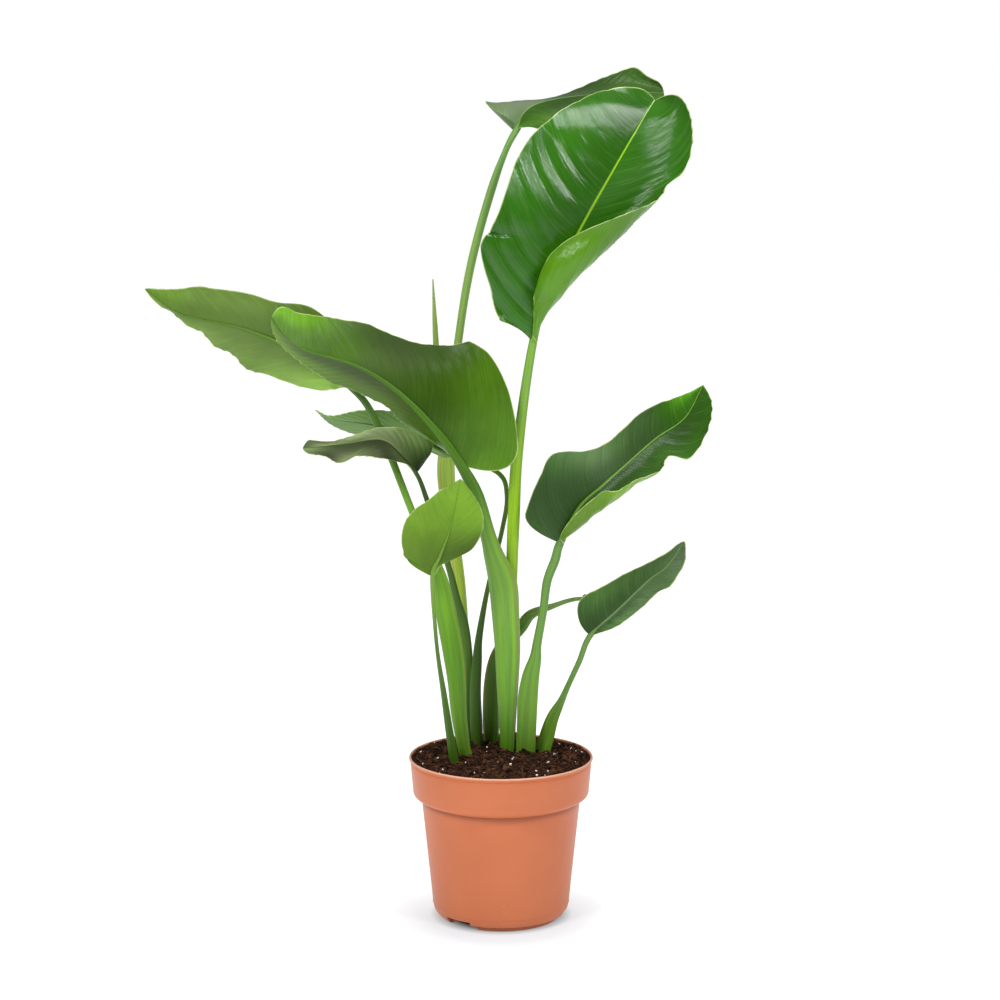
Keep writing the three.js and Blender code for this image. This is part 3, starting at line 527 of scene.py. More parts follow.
def drain_hole(angle):
    """A cylinder through the pot's floor, at its place on the same radius."""
    ends = [(0, DRAIN_BELOW), (DRAIN_RADIUS, DRAIN_BELOW), (DRAIN_RADIUS, DRAIN_ABOVE), (0, DRAIN_ABOVE)]
    points, faces = turned(ends, DRAIN_SIDES)
    there = DRAIN_AT * np.array([math.cos(math.radians(angle)), math.sin(math.radians(angle)), 0])
    return points + there, faces


def cut(piece, points, faces):
    """Takes a closed shape away from the piece, and applies the cut to its mesh."""
    tool = new_piece("cutter", points, faces, piece.data.materials[0])
    modifier = piece.modifiers.new("cut", "BOOLEAN")
    modifier.operation = "DIFFERENCE"
    modifier.solver = "MANIFOLD"
    modifier.object = tool
    evaluated = piece.evaluated_get(bpy.context.evaluated_depsgraph_get())
    mesh = bpy.data.meshes.new_from_object(evaluated)
    piece.modifiers.clear()
    piece.data = mesh
    bpy.data.objects.remove(tool)


notch_half = FOOT_RADIUS * math.sin(math.radians(NOTCH_TURN / 2))
opening_half = NOTCH_OUTER * math.sin(math.radians(OPENING_TURN / 2))
print("notch", round(2 * notch_half, 1), "mm wide, opening", round(2 * opening_half, 1), "mm")

# %% Cut the foot
for count in range(NOTCHES):
    angle = NOTCH_ANGLE + 360 / NOTCHES * count
    cut(pot, *radial_box(angle, NOTCH_INNER, NOTCH_OUTER, notch_half, NOTCH_HEIGHT))
    cut(pot, *radial_box(angle, OPENING_START, NOTCH_OUTER, opening_half, OPENING_HEIGHT))
    cut(pot, *radial_box(angle, CHANNEL_START, FOOT_RADIUS, CHANNEL_WIDTH / 2, NOTCH_HEIGHT))
    cut(pot, *drain_hole(angle))
pot.data.polygons.foreach_set("use_smooth", [True] * len(pot.data.polygons))
pot.data.set_sharp_from_angle(angle=math.radians(POT_SHARP))
place_piece(pot, "pot_plastic", "pot")

# %% [markdown]
# ## The soil
#
# Potting soil is peat: dark crumbs of every size from dust to pea, pale fibres, and white grains of
# perlite. A bumpy bed alone looks like asphalt, so the bed only gives the mound and its clods, and
# loose crumbs, fibres and grains lie on it.

# %% Height of the soil
SOIL_LEVEL, SOIL_MOUND, SOIL_WAVE, MOUND_RADIUS = 166.2, 3.6, 1.8, 90
# Height in mm, size in mm and seed of the random clods.
CLODS = [(1.7, 9, 1), (1.2, 4.2, 2), (0.5, 1.9, 3)]


def soil_height(x, y):
    """A mound of (1 - r²), two slow waves sin cos and sin that are still at the wall, and clods."""
    out = np.hypot(x, y) / MOUND_RADIUS
    slow = np.sin(0.23 * x + 1.3) * np.cos(0.19 * y - 0.4) + 0.6 * np.sin(0.41 * x - 0.37 * y)
    clods = sum(height * lumps(x, y, size, seed) for height, size, seed in CLODS)
    rise = SOIL_MOUND * (1 - out * out) + SOIL_WAVE * slow * (1 - out**6) + clods * (1 - 0.6 * out**8)
    return SOIL_LEVEL + rise


print("soil in the middle:", round(float(soil_height(np.zeros(1), np.zeros(1))[0]), 1), "mm high")

# %% Soil bed
SOIL_SIDES, SOIL_RINGS, SOIL_RADIUS, SOIL_MIDDLE = 240, 72, 91.6, 1.2
# Radius and height of the bed just inside the pot's wall, from its floor up.
BED_WALL = [(64.5, 7.2), (68.0, 14.4), (79.2, 121.0), (79.8, 127.0), (86.6, 132.0), (91.1, 163.0)]
PEAT_DARK, PEAT_LIGHT = rgb(16, 10, 7), rgb(80, 50, 36)


def soil_bed():
    """Rings of points from the lip to the middle on the soil's height, closed below by the pot's
    inside: (r cos a, r sin a, height)."""
    angle = circle(SOIL_SIDES)
    radius = np.linspace(SOIL_RADIUS, SOIL_MIDDLE, SOIL_RINGS)[:, None]
    x, y = radius * np.cos(angle), radius * np.sin(angle)
    top = np.stack([x, y, soil_height(x, y)], axis=-1)
    sides = [[r * np.cos(angle), r * np.sin(angle), np.full(SOIL_SIDES, z)] for r, z in BED_WALL]
    wall = np.stack([np.stack(side, axis=-1) for side in sides])
    middle = float(soil_height(np.zeros(1), np.zeros(1))[0])
    return closed_tube(np.concatenate([wall, top]), np.array([[0, 0, BED_WALL[0][1]], [0, 0, middle]]))


def peat(name, dark, light):
    """Matt crumbly brown: each crumb's own tone, speckled at two sizes, with a rough bump."""
    material, shader = new_material(name, 0.95, 0.15)
    place = place_of(shader)
    speckle = noise(shader, place, scale=700, detail=4, rough=0.7)
    tone = maths(shader, "ADD", named(shader, "tone"), maths(shader, "SUBTRACT", speckle, 0.5), clamp=True)
    put(shader, "Base Color", mix(shader, tone, dark, light))
    bump(shader, noise(shader, place, scale=1500, detail=4, rough=0.7), 0.0006)
    return material


bed_points, bed_faces = soil_bed()
bed_tones = {"tone": 0.25 + 0.25 * lumps(bed_points[:, 0], bed_points[:, 1], 3, 4)}
bed_skin = peat("peat", PEAT_DARK, PEAT_LIGHT)
bed = new_piece("soil_bed", bed_points, bed_faces, bed_skin, numbers=bed_tones, sharp=180)
place_piece(bed, "potting_soil", "soil")

# %% [markdown]
# ### Loose crumbs and perlite
#
# Thousands of crumbs could be spread by a particle system, but then they aren't part of any mesh.
# Here each kind is one mesh of many copies of a ball with few faces, and every copy is stretched,
# turned and roughened at random by arrays of numbers with a fixed seed. Perlite is the same
# stone in white, rounder and lying on top.


# %% Rough stones
def ball_of_triangles(detail):
    """Points and faces of a ball: 20 faces at detail 1, 80 at detail 2."""
    ball = bmesh.new()
    bmesh.ops.create_icosphere(ball, subdivisions=detail, radius=1)
    points = np.array([v.co for v in ball.verts])
    faces = np.array([[v.index for v in f.verts] for f in ball.faces])
    ball.free()
    return points, faces


def random_turns(count, rng):
    """Random rotations as 3 by 3 arrays, from random quaternions (w, x, y, z) of length 1."""
    w, x, y, z = unit(rng.normal(size=(count, 4))).T
    return np.stack([
        np.stack([1 - 2 * (y * y + z * z), 2 * (x * y - z * w), 2 * (x * z + y * w)], axis=-1),
        np.stack([2 * (x * y + z * w), 1 - 2 * (x * x + z * z), 2 * (y * z - x * w)], axis=-1),
        np.stack([2 * (x * z - y * w), 2 * (y * z + x * w), 1 - 2 * (x * x + y * y)], axis=-1),
    ], axis=1)


def random_places(count, within, rng):
    """Places that lie evenly in a circle: the radius is the square root of a random share."""
    out, angle = within * np.sqrt(rng.random(count)), rng.uniform(0, 2 * np.pi, count)
    return out * np.cos(angle), out * np.sin(angle)


def scattered(count, sizes, detail, seed, sink=0.3, rough=0.3):
    """Many rough stones on the soil: the ball's points times a random radius, a random stretch and
    turn, moved to random places. Small ones are more frequent, as a random share raised to 2.5.
    Returns points, faces and a random tone for each point."""
    rng = np.random.default_rng(seed)
    ball, ball_faces = ball_of_triangles(detail)
    size = sizes[0] + (sizes[1] - sizes[0]) * rng.random(count) ** 2.5
    bumpy = ball * (1 + rough * rng.uniform(-1, 1, (count, len(ball), 1)))
    bumpy = bumpy * rng.uniform(0.55, 1.15, (count, 1, 3)) * size[:, None, None] / 2
    bumpy = np.einsum("nij,nkj->nki", random_turns(count, rng), bumpy)
    x, y = random_places(count, CRUMBS_WITHIN - size / 2, rng)
    centre = np.stack([x, y, soil_height(x, y) + size * (0.5 - sink)], axis=-1)
    points = bumpy + centre[:, None, :]
    faces = ball_faces[None] + (np.arange(count) * len(ball))[:, None, None]
    tones = np.repeat(rng.uniform(0, 1, count), len(ball))
    return points.reshape(-1, 3), faces.reshape(-1, 3), tones


def joined(*groups):
    """Several sets of points, faces and tones as one."""
    points, faces, tones = zip(*groups)
    starts = np.cumsum([0] + [len(p) for p in points[:-1]])
    return np.concatenate(points), [f + s for f, s in zip(faces, starts)], np.concatenate(tones)


print("a crumb has", len(ball_of_triangles(2)[1]), "faces, a small one", len(ball_of_triangles(1)[1]))

# %% Crumbs
CRUMBS_WITHIN = 91.0
CRUMB_DARK, CRUMB_LIGHT, CRUMB_TONE = rgb(15, 9, 6), rgb(118, 76, 52), 0.6

big_crumbs = scattered(count=1000, sizes=(2.2, 6.4), detail=2, seed=11)
small_crumbs = scattered(count=4600, sizes=(0.9, 2.8), detail=1, seed=12)
crumb_points, crumb_faces, crumb_tones = joined(big_crumbs, small_crumbs)
crumb_skin = peat("peat_crumbs", CRUMB_DARK, CRUMB_LIGHT)
tones = {"tone": crumb_tones * CRUMB_TONE}
crumbs = new_piece("soil_crumbs", crumb_points, crumb_faces, crumb_skin, numbers=tones, sharp=60)
place_piece(crumbs, "potting_soil")

# %% Perlite
PERLITE_SHADE, PERLITE_WHITE = rgb(236, 230, 218), rgb(255, 254, 250)


def perlite_finish():
    """Chalky white with slightly darker pores."""
    material, shader = new_material("perlite_white", 0.85, 0.3)
    pores = step_up(shader, noise(shader, place_of(shader), scale=900, detail=3), 0.3, 0.6)
    put(shader, "Base Color", mix(shader, pores, PERLITE_SHADE, PERLITE_WHITE))
    return material


grains = scattered(count=84, sizes=(1.1, 3.0), detail=2, seed=13, sink=0.0, rough=0.2)
grain_points, grain_faces, _ = joined(grains)
perlite = new_piece("perlite", grain_points, grain_faces, perlite_finish(), sharp=50)
place_piece(perlite, "potting_soil")

# %% [markdown]
# ### Fibres
#
# Peat is full of fine pale roots a few millimetres long. A hair system would draw them, but as
# curves without thickness. Each is a three-sided tube along a parabola, all of them one array.

# %% Fibres
FIBRES, FIBRE_SEED, FIBRES_WITHIN = 900, 14, 86
FIBRE_STATIONS, FIBRE_SIDES = 6, 3
FIBRE_DARK, FIBRE_LIGHT, FIBRE_TONE = rgb(58, 35, 22), rgb(168, 118, 78), 0.8


def fibres(count, seed):
    """Bent root fibres: each a three-sided tube along a parabola, level + sag (1 - t²), tapered at
    both ends. Returns points, faces and a random tone for each point."""
    rng = np.random.default_rng(seed)
    t = np.linspace(-1, 1, FIBRE_STATIONS)[None, :, None]
    x, y = random_places(count, FIBRES_WITHIN, rng)
    centre = np.stack([x, y, soil_height(x, y) + rng.uniform(0.4, 1.6, count)], axis=-1)[:, None]
    way = rng.uniform(0, 2 * np.pi, count)
    forward = np.stack([np.cos(way), np.sin(way), rng.uniform(-0.35, 0.35, count)], axis=-1)[:, None]
    aside = np.stack([-np.sin(way), np.cos(way), np.zeros(count)], axis=-1)[:, None]
    half = rng.uniform(2, 6.5, (count, 1, 1))
    sag = aside * half * rng.uniform(-0.5, 0.5, (count, 1, 1))
    line = centre + forward * t * half + sag * (1 - t * t)
    turn = circle(FIBRE_SIDES)
    ring = np.cos(turn)[:, None] * aside[:, :, None] + np.sin(turn)[:, None] * np.array([0, 0, 1.0])
    thick = rng.uniform(0.12, 0.32, (count, 1, 1, 1)) * np.sqrt(1.02 - t * t)[..., None]
    points = line[:, :, None] + ring * thick
    a_fibre = FIBRE_STATIONS * FIBRE_SIDES
    starts = (np.arange(count) * a_fibre)[:, None, None]
    faces = grid_faces(FIBRE_STATIONS, FIBRE_SIDES, wrap=True)[None] + starts
    ends = np.array([[2, 1, 0], [a_fibre - 3, a_fibre - 2, a_fibre - 1]])[None] + starts
    tones = np.repeat(rng.random(count), a_fibre)
    return points.reshape(-1, 3), [faces.reshape(-1, 4), ends.reshape(-1, 3)], tones


fibre_points, fibre_faces, fibre_tones = fibres(FIBRES, FIBRE_SEED)
fibre_skin = peat("root_fibre", FIBRE_DARK, FIBRE_LIGHT)
tones = {"tone": fibre_tones * FIBRE_TONE}
place_piece(new_piece("soil_fibres", fibre_points, fibre_faces, fibre_skin, numbers=tones), "potting_soil")

# %% [markdown]
# ## The leaves' measures
#
# Each leaf has a stalk and a blade on one smooth line. A stalk row is x, y, z, width, depth and
# groove, where a groove of 0 is an oval, 1 a flat top and more than 1 a channel, as on the sheath
# that wraps the stalk behind it. The blade has its midrib's points, the way its upper face looks
# along it, and for each half its width, how far it lifts and curls in degrees, and where it bends.
# Sculpting would be quicker to start, but a row of widths can be set against a photograph one by
# one. They are the plant's own numbers from the solids, so the dressed leaf lies on the plain one.

# %% A leaf's measures
LEAVES = {}


def add_leaf(name, **measures):
    """Keeps the measures under the leaf's name: open is the side of the stalk's groove, stem its rows
    from the soil up, rib the midrib's points, facing where the upper face looks, and left and right
    the halves. Each list runs evenly from base to tip: width in mm, lift and curl in degrees, bend the
    part of the width that curls, sweep how far the margin runs ahead of the midrib. round is the share
    of the length that each end takes to round off, and wave is height, waves and phase."""
    LEAVES[name] = measures
    tip = measures["rib"][-1]
    print(f"{name}: its tip lies {tip[0]} mm to the right and {tip[2]} mm up")


# %% Tallest leaf, seen nearly edge-on
add_leaf(
    "top_back",
    open=[-0.5, 0.85, 0],
    stem=[
        [-42, 68, 162, 13, 12, 0.3], [-40, 66, 264, 13, 12, 0.4], [-43, 64, 329, 13, 12, 0.6],
        [-51, 62, 393, 15, 13, 1.2], [-57, 60, 456, 19.5, 14, 1.6], [-53, 60, 510, 12, 10, 0.9],
        [-44, 62, 590, 9, 8.5, 0.3], [-30, 72, 672, 9, 8.5, 0.3], [-5, 88, 759, 9, 8, 0.3],
        [14, 98, 804, 8, 7, 0.3],
    ],
    rib=[[14, 98, 804], [29, 100, 827], [61, 101, 837], [123, 104, 843], [168, 110, 842]],
    facing=[[-0.7, -0.5, 0.45], [-0.35, -0.15, 0.9], [-0.1, -0.06, 1], [0, -0.05, 1], [0, -0.05, 1]],
    left={
        "width": [33.1, 55, 62, 62, 59.8, 56, 47.7, 41.7, 23.4, 23.9],
        "lift": [43.6, 19, 3.8, 1.6, 2.6, 8.3, 19.3, 30.3, 40.5],
        "curl": [18.5, -11, -23, -12.7, -1.2, 18.9, 44.4, 75.7, 102.1],
        "bend": [[0, 0, 0, 0.2, 0.5, 0.5], [1, 1, 1, 1, 0.85, 0.9]],
        "sweep": [0.13, -0.21, -0.3, -0.19, 0, 0.28, 0.23, 0.06],
        "round": [0.05, 0.15],
    },
    right={
        "width": [6, 31.9, 48, 56, 57.6, 54.5, 48.5, 41.1],
        "lift": [-10, -25, -25, -20],
        "curl": [-20],
        "sweep": [0.23, -0.28, -0.5, -0.53, -0.44, -0.28, -0.1],
    },
)

# %% Big glossy leaf with its right half folded forward
add_leaf(
    "tall_front",
    open=[0.4, -0.9, 0],
    stem=[
        [8, 24, 168, 12, 11, 0.3], [10, 17, 275, 12, 11, 0.3], [11, 10, 350, 12, 11, 0.3],
        [13, 4, 413, 13, 11, 0.3], [17, -3, 486, 12, 10, 0.3], [32, -10, 594, 8.6, 7, 0.3],
    ],
    rib=[
        [32, -10, 594], [52, -12, 654], [77, -10, 705], [114, -2, 770], [141, 12, 815], [154, 28, 834],
    ],
    facing=[[0.1, -1, 0.1], [0.1, -1, 0.1], [0, -0.95, 0.2], [-0.2, -0.6, 0.8]],
    left={
        "width": [
            6, 35.1, 42.3, 55.6, 82.6, 79.2, 80.1, 81.4, 88.5, 85.6, 81.7, 77.9, 65.8, 51.9, 46.8, 45.9,
        ],
        "lift": [5, 5, 5, 0, 0, 0],
        "curl": [10, 5, 0, 0],
        "sweep": [0.2, -0.49, -0.05, -0.38, 0.23, 0.17, 0.82, 0.85],
        "round": [0.1, 0.2],
        "wave": [3, 5, 0],
    },
    right={
        "width": [6, 22, 62.5, 86.2, 81.9, 68.5, 59.4, 68.6, 62.2, 47.4],
        "lift": [19.8, 10.3, 12.7, -3, -6.1, 0.6, 17],
        "curl": [240, 237.5, 240, 193.5, 142.2, 68.1, 58.3, 48.4, 44.7],
        "bend": [[0, 0, 0.16, 0.42, 0.6, 0.5], [1, 1, 0.84, 0.98, 1, 1]],
        "sweep": [-0.41, -0.15, 0.01, 0.32, 0.1, 0.47],
        "round": [0.1, 0.2],
    },
)

# %% Big leaf in front, its underside to the viewer
add_leaf(
    "broad_left",
    open=[0.25, 0.97, 0],
    stem=[
        [7, 16, 167, 15, 16, 1.3], [7, 14, 204, 18, 18, 1.5], [7, 12, 242, 23, 21, 1.6],
        [7, 10, 279, 26.5, 22, 1.6], [5, 7, 314, 28.5, 22, 1.6], [2, 3, 349, 29.5, 22, 1.5],
        [-7, -1, 378, 21, 17, 1], [-13, -6, 399, 16, 14, 0.5], [-25, -18, 442, 14.5, 12, 0.3],
        [-40, -30, 474, 10.5, 8, 0.3],
    ],
    rib=[
        [-40, -30, 474], [-62, -38, 507], [-102, -44, 549], [-143, -46, 575], [-194, -42, 590],
        [-214, -36, 604], [-227, -30, 621],
    ],
    facing=[[0.05, 1, -0.1], [0.05, 1, -0.1], [0.05, 1, 0], [0.05, 1, 0]],
    left={
        "width": [
            30.2, 61.6, 87.9, 89.2, 87.3, 82.7, 66.5, 52.8, 46.2, 45, 42.7, 41.9, 41.1, 36.6, 24.4,
            24.8,
        ],
        "lift": [0, 5, 15, 20, 15],
        "curl": [5, 15, 10],
        "sweep": [-1.32, 0.15, 0.15, -0.08, -0.09, 0.16, 0, 0.06, 0.7],
        "round": [0.06, 0.1],
    },
    right={
        "width": [6, 39.1, 56.7, 52.2, 38.6, 41.7, 43.9, 45.7, 35, 23.4, 24.3, 29],
        "lift": [83, 67, 54, 51, 53, 60],
        "curl": [10, 0, 0],
        "sweep": [-1.01, -0.16, 0.02, 0.14, 0.18, 0.23, 0.03],
        "round": [0.12, 0.1],
    },
)

# %% Long leaf that reaches furthest left
add_leaf(
    "far_left",
    open=[-0.2, 0.98, 0],
    stem=[
        [-35, -4, 165, 13, 12, 0.8], [-38, -5, 178, 13, 12, 1], [-43, -8, 214, 16, 14, 1.3],
        [-45, -10, 249, 19, 15, 1.5], [-49, -12, 283, 21.5, 16, 1.6], [-56, -13, 322, 20.5, 15, 1.5],
        [-62, -13, 356, 15, 12, 1], [-75, -12, 390, 9, 9, 0.4], [-90, -8, 424, 7.5, 7, 0.3],
        [-124, 5, 508, 7.5, 7, 0.3], [-148, 10, 545, 7, 6, 0.3],
    ],
    rib=[[-148, 10, 545], [-193, 12, 578], [-256, 12, 606], [-322, 10, 622], [-357, 8, 647]],
    facing=[[0.2, 0.9, 0.25], [0.15, 0.95, 0.25], [0.15, 0.9, 0.35]],
    left={
        "width": [58, 55.2, 43.5, 46.5, 37.2, 36, 34.1, 32.1, 19.2, 6],
        "lift": [5],
        "curl": [10],
        "sweep": [-0.33, -0.13, 0, 0.08, 0.12, 0.16, 0.13],
    },
    right={
        "width": [6, 13.8, 19.9, 35.4, 42.2, 50.6, 44.8, 39.5, 29.9, 22.5, 12.8, 6.3, 6, 6],
        "lift": [5],
        "curl": [20],
        "sweep": [0.34, -0.86, 0.13, 0.17, 0.15, -0.52, -0.64],
        "wave": [3, 6, 0],
    },
)

# %% Small dark leaf under the big left one
add_leaf(
    "small_left",
    open=[0, -1, 0.3],
    stem=[
        [-35, 52, 164, 11, 10, 0.3], [-35, 47, 226, 11, 10, 0.5], [-35, 43, 264, 10, 9.5, 0.5],
        [-39, 38, 298, 10, 9, 0.5], [-46, 34, 324, 9, 8, 0.4], [-53, 28, 357, 6.5, 6.2, 0.3],
        [-75, 4, 433, 5.5, 5.2, 0.3], [-85, -8, 463, 4.8, 4.4, 0.3],
    ],
    rib=[[-85, -8, 463], [-97, -12, 478], [-119, -18, 497], [-154, -22, 494], [-198, -26, 490]],
    facing=[[0.3, -0.6, 0.7], [0, -0.5, 0.85], [-0.3, -0.5, 0.8]],
    left={
        "width": [6, 6, 28.6, 37.5, 36.4, 32.2, 29.4, 39.3, 37.4, 24.1, 17, 16.8],
        "lift": [5],
        "curl": [10],
        "sweep": [0.85, 0.62, 0.41, 0.32, 0.19, 0.04, -0.08],
        "round": [0.05, 0.1],
    },
    right={
        "width": [36.2, 38.7, 31.8, 19.6, 16.4, 12.5, 9.1, 6, 9, 12],
        "lift": [5],
        "curl": [10],
        "sweep": [-0.11, -0.2, 0.18, -0.3, -0.12, 0.06, -0.26],
        "round": [0.12, 0.05],
    },
)

# %% Small matt leaf, low in front
add_leaf(
    "round_front",
    open=[0.3, 0.9, 0],
    stem=[
        [-48, -26, 169, 10, 9, 0.3], [-53, -32, 206, 8, 7.5, 0.3], [-58, -38, 244, 6, 5.6, 0.3],
        [-63, -45, 280, 4.2, 4.2, 0.3], [-66, -51, 315, 4, 4, 0.3], [-68, -58, 366, 4.5, 4, 0.3],
    ],
    rib=[[-68, -58, 366], [-60, -63, 388], [-50, -66, 416], [-43, -64, 449], [-40, -60, 464]],
    facing=[[0.3, 0.9, 0.3], [0.2, 0.9, 0.3], [0.1, 0.9, 0.1]],
    left={
        "width": [6, 6.7, 25.6, 30.4, 31.9, 30.9, 29, 23.3, 6],
        "lift": [5],
        "curl": [20],
        "sweep": [0.85, 0.53, 0.35, 0.22, 0, -0.32, -0.42],
        "round": [0.15, 0.05],
    },
    right={
        "width": [53, 38.1, 46.4, 47.7, 43.3, 37.3, 24.1, 14.3, 6],
        "lift": [5],
        "curl": [20],
        "sweep": [0.06, -0.17, 0.04, 0.15, 0.1, 0.25, -0.65],
        "round": [0.15, 0.05],
    },
)

# %% Pale narrow leaf behind the big left one
add_leaf(
    "pale_behind",
    open=[-0.5, 0.85, 0],
    stem=[
        [-25, 36, 165, 11, 10, 0.5], [-26, 36, 191, 13, 11, 0.8], [-27, 34, 227, 11.5, 10, 0.8],
        [-25, 33, 262, 10, 9, 0.5], [-22, 31, 291, 7.5, 7, 0.3], [-13, 28, 341, 5, 4.8, 0.3],
        [1, 23, 399, 5, 4.8, 0.3], [6, 19, 436, 5, 4.8, 0.3], [-4, 18, 460, 5, 4.8, 0.3],
        [-50, 24, 477, 5, 4.4, 0.3],
    ],
    rib=[[-50, 24, 477], [-93, 32, 499], [-134, 36, 507], [-170, 40, 512], [-190, 42, 521]],
    facing=[[0.1, 0.5, 0.8], [0, 0.5, 0.8]],
    left={
        "width": [10.9, 19.9, 30, 30, 27.3, 17, 6],
        "lift": [2.6, 0.7, 1.8, -13.5, -40.5],
        "curl": [10],
        "sweep": [-0.23, -0.09, 0.06, 0.17, 0.24, 0.29, 0.25],
    },
    right={
        "width": [15.5, 25.6, 34.3, 40, 40, 25.5, 8],
        "lift": [0.7, -1.2, -2.1, 1.9, 6.1],
        "curl": [10],
        "sweep": [-0.27, -0.09, 0.06, 0.17, 0.25, 0.3, 0.27],
    },
)

# %% Upper leaf at the right
add_leaf(
    "upper_right",
    open=[-0.3, -0.9, 0],
    stem=[
        [25, 8, 165, 20, 14, 0.6], [26, 4, 199, 20, 14, 0.8], [27, 2, 226, 20.5, 14, 0.9],
        [30, 2, 250, 17.5, 12, 0.8], [35, 3, 270, 12, 10, 0.5], [37, 3, 285, 9.5, 9, 0.3],
        [43, 2, 319, 8.5, 8, 0.3], [47, 0, 350, 9, 8.5, 0.3], [55, -3, 373, 9.5, 8.5, 0.3],
        [60, -6, 391, 8.6, 6.6, 0.3],
    ],
    rib=[
        [60, -6, 391], [79, -8, 428], [102, -8, 450], [130, -7, 475], [157, -4, 498], [186, 2, 518],
        [204, 8, 550],
    ],
    facing=[[0, -1, 0.15], [-0.05, -1, 0.15], [-0.1, -1, 0.2]],
    left={
        "width": [40.8, 45.5, 48.3, 51.9, 57.1, 38.7, 30, 29.3, 30.2, 29.2, 28, 24.1, 17.6, 6],
        "lift": [5],
        "curl": [10],
        "sweep": [-0.13, -0.11, -0.11, 0.01, 0.35, 0.41, -0.08, -0.57],
        "round": [0.08, 0.12],
    },
    right={
        "width": [6, 30.6, 43.7, 53.3, 53.3, 48.6, 51.6, 31.3, 46.5, 46.3, 31.8, 6],
        "lift": [8.8, -20.2, 7.4, 17.6, 27.8, 34.3, 27.2],
        "curl": [240, 215.7, 183.8, 127.6, 98.1, 47.1, 20.8, 46.5, 6.9],
        "bend": [[0, 0, 0.12, 0.3, 0.3], [1]],
        "sweep": [-0.43, 0.27, -0.04, 0.09, -0.16, 0.32],
    },
)

# %% Lower leaf at the right
add_leaf(
    "lower_right",
    open=[-0.3, -0.9, 0],
    stem=[
        [43, 14, 167, 15.5, 11, 0.6], [47, 12, 185, 15, 11, 0.8], [53, 8, 206, 12, 9.5, 0.7],
        [62, 3, 225, 7.5, 7, 0.4], [69, 0, 242, 5.8, 5.6, 0.3], [80, -5, 268, 5.8, 5.6, 0.3],
        [91, -10, 296, 6, 5, 0.3],
    ],
    rib=[[91, -10, 296], [118, -14, 323], [149, -12, 353], [169, -8, 368], [186, -4, 392]],
    facing=[[0, -1, 0.15], [-0.1, -0.95, 0.3]],
    left={
        "width": [20.1, 33.3, 30.6, 26.2, 21.6, 15.8, 13.3, 8, 6],
        "lift": [5],
        "curl": [10],
        "sweep": [-0.19, 0.11, 0.05, 0.05, 0.06, 0.13, -0.37],
    },
    right={
        "width": [6, 11.6, 14.4, 16.3, 16.4, 19.4, 15.6, 12.3, 6],
        "lift": [5],
        "curl": [20],
        "sweep": [0.85, 0.51, 0.51, 0.85, 0.36, 0.21, 0.07],
    },
)

# %% Leaf on the stalk that arches over behind
add_leaf(
    "arched_back",
    open=[0.2, 0.95, -0.1],
    stem=[
        [-10, 54, 163, 15, 13, 0.7], [-10, 52, 199, 17, 14, 1], [-9, 50, 233, 16, 13, 1],
        [-4, 48, 259, 15, 12, 0.8], [7, 46, 278, 14, 11, 0.6], [21, 43, 294, 12.5, 10, 0.5],
        [32, 41, 308, 10, 8.5, 0.4], [55, 37, 318, 6.5, 6, 0.3], [70, 34, 324, 5.5, 5.2, 0.3],
        [85, 32, 327, 4.5, 4.2, 0.3],
    ],
    rib=[[85, 32, 327], [104, 48, 322], [128, 70, 306]],
    facing=[[0, -0.2, 1], [0, -0.2, 1]],
    left={
        "width": [6, 11, 5],
        "lift": [5],
        "curl": [10],
        "sweep": [0, 0.05, 0.1, 0.16, 0.21, 0.23, 0.25],
    },
    right={
        "width": [6, 11, 5],
        "lift": [5],
        "curl": [10],
        "sweep": [0, 0.05, 0.1, 0.16, 0.21, 0.23, 0.25],
    },
)

# %% New leaf, still rolled
SPEAR = [
    [-55.2, 60, 428, 5, 4.4, 0], [-56.4, 60.4, 462, 6, 5, 0], [-61, 66, 505, 8, 6, 0],
    [-65.5, 68, 560, 7.2, 6, 0], [-68, 68.5, 606, 5.6, 5, 0], [-70, 69, 653, 1.2, 1.2, 0],
]
SPEAR_OPEN = [-0.5, 0.85, 0]
print("new leaf ends", SPEAR[-1][2], "mm up; leaves with a blade:", len(LEAVES))

# %% [markdown]
# ## Smooth lines
#
# A stalk, a midrib and a margin are drawn by a few points, and the curve has to go through every one
# of them. A Bezier curve passes beside its handles, so this is the smooth line that takes each
# point's direction from its two neighbours. Resampling it at equal distances gives even faces.


# %% Curve through points
FINE_STEPS = 2001


def smooth_along(rows, t):
    """Rows of numbers at the shares t (0 to 1) of an evenly numbered list, on the smooth curve that
    passes through every row: between rows b and c, with their neighbours a and d,
    b + ((c - a) f + (2a - 5b + 4c - d) f² + (3b - a - 3c + d) f³) / 2."""
    rows = np.asarray(rows, float)
    t = np.clip(t, 0, 1)
    if len(rows) == 1:
        return np.broadcast_to(rows[0], t.shape + rows.shape[1:])
    ends = np.concatenate([[2 * rows[0] - rows[1]], rows, [2 * rows[-1] - rows[-2]]])
    place = t * (len(rows) - 1)
    i = np.minimum(place.astype(int), len(rows) - 2)
    f = (place - i).reshape(t.shape + (1,) * (rows.ndim - 1))
    a, b, c, d = (ends[i + k] for k in range(4))
    return b + 0.5 * ((c - a) * f + (2 * a - 5 * b + 4 * c - d) * f**2 + (3 * b - a - 3 * c + d) * f**3)


def evenly(rows, start, count):
    """The same curve from the share start to its end, resampled at equal distances, and its length."""
    fine = smooth_along(rows, np.linspace(start, 1, FINE_STEPS))
    gone = np.concatenate([[0], np.cumsum(np.linalg.norm(np.diff(fine[:, :3], axis=0), axis=1))])
    at = np.linspace(0, gone[-1], count)
    return np.stack([np.interp(at, gone, column) for column in fine.T], axis=-1), gone[-1]


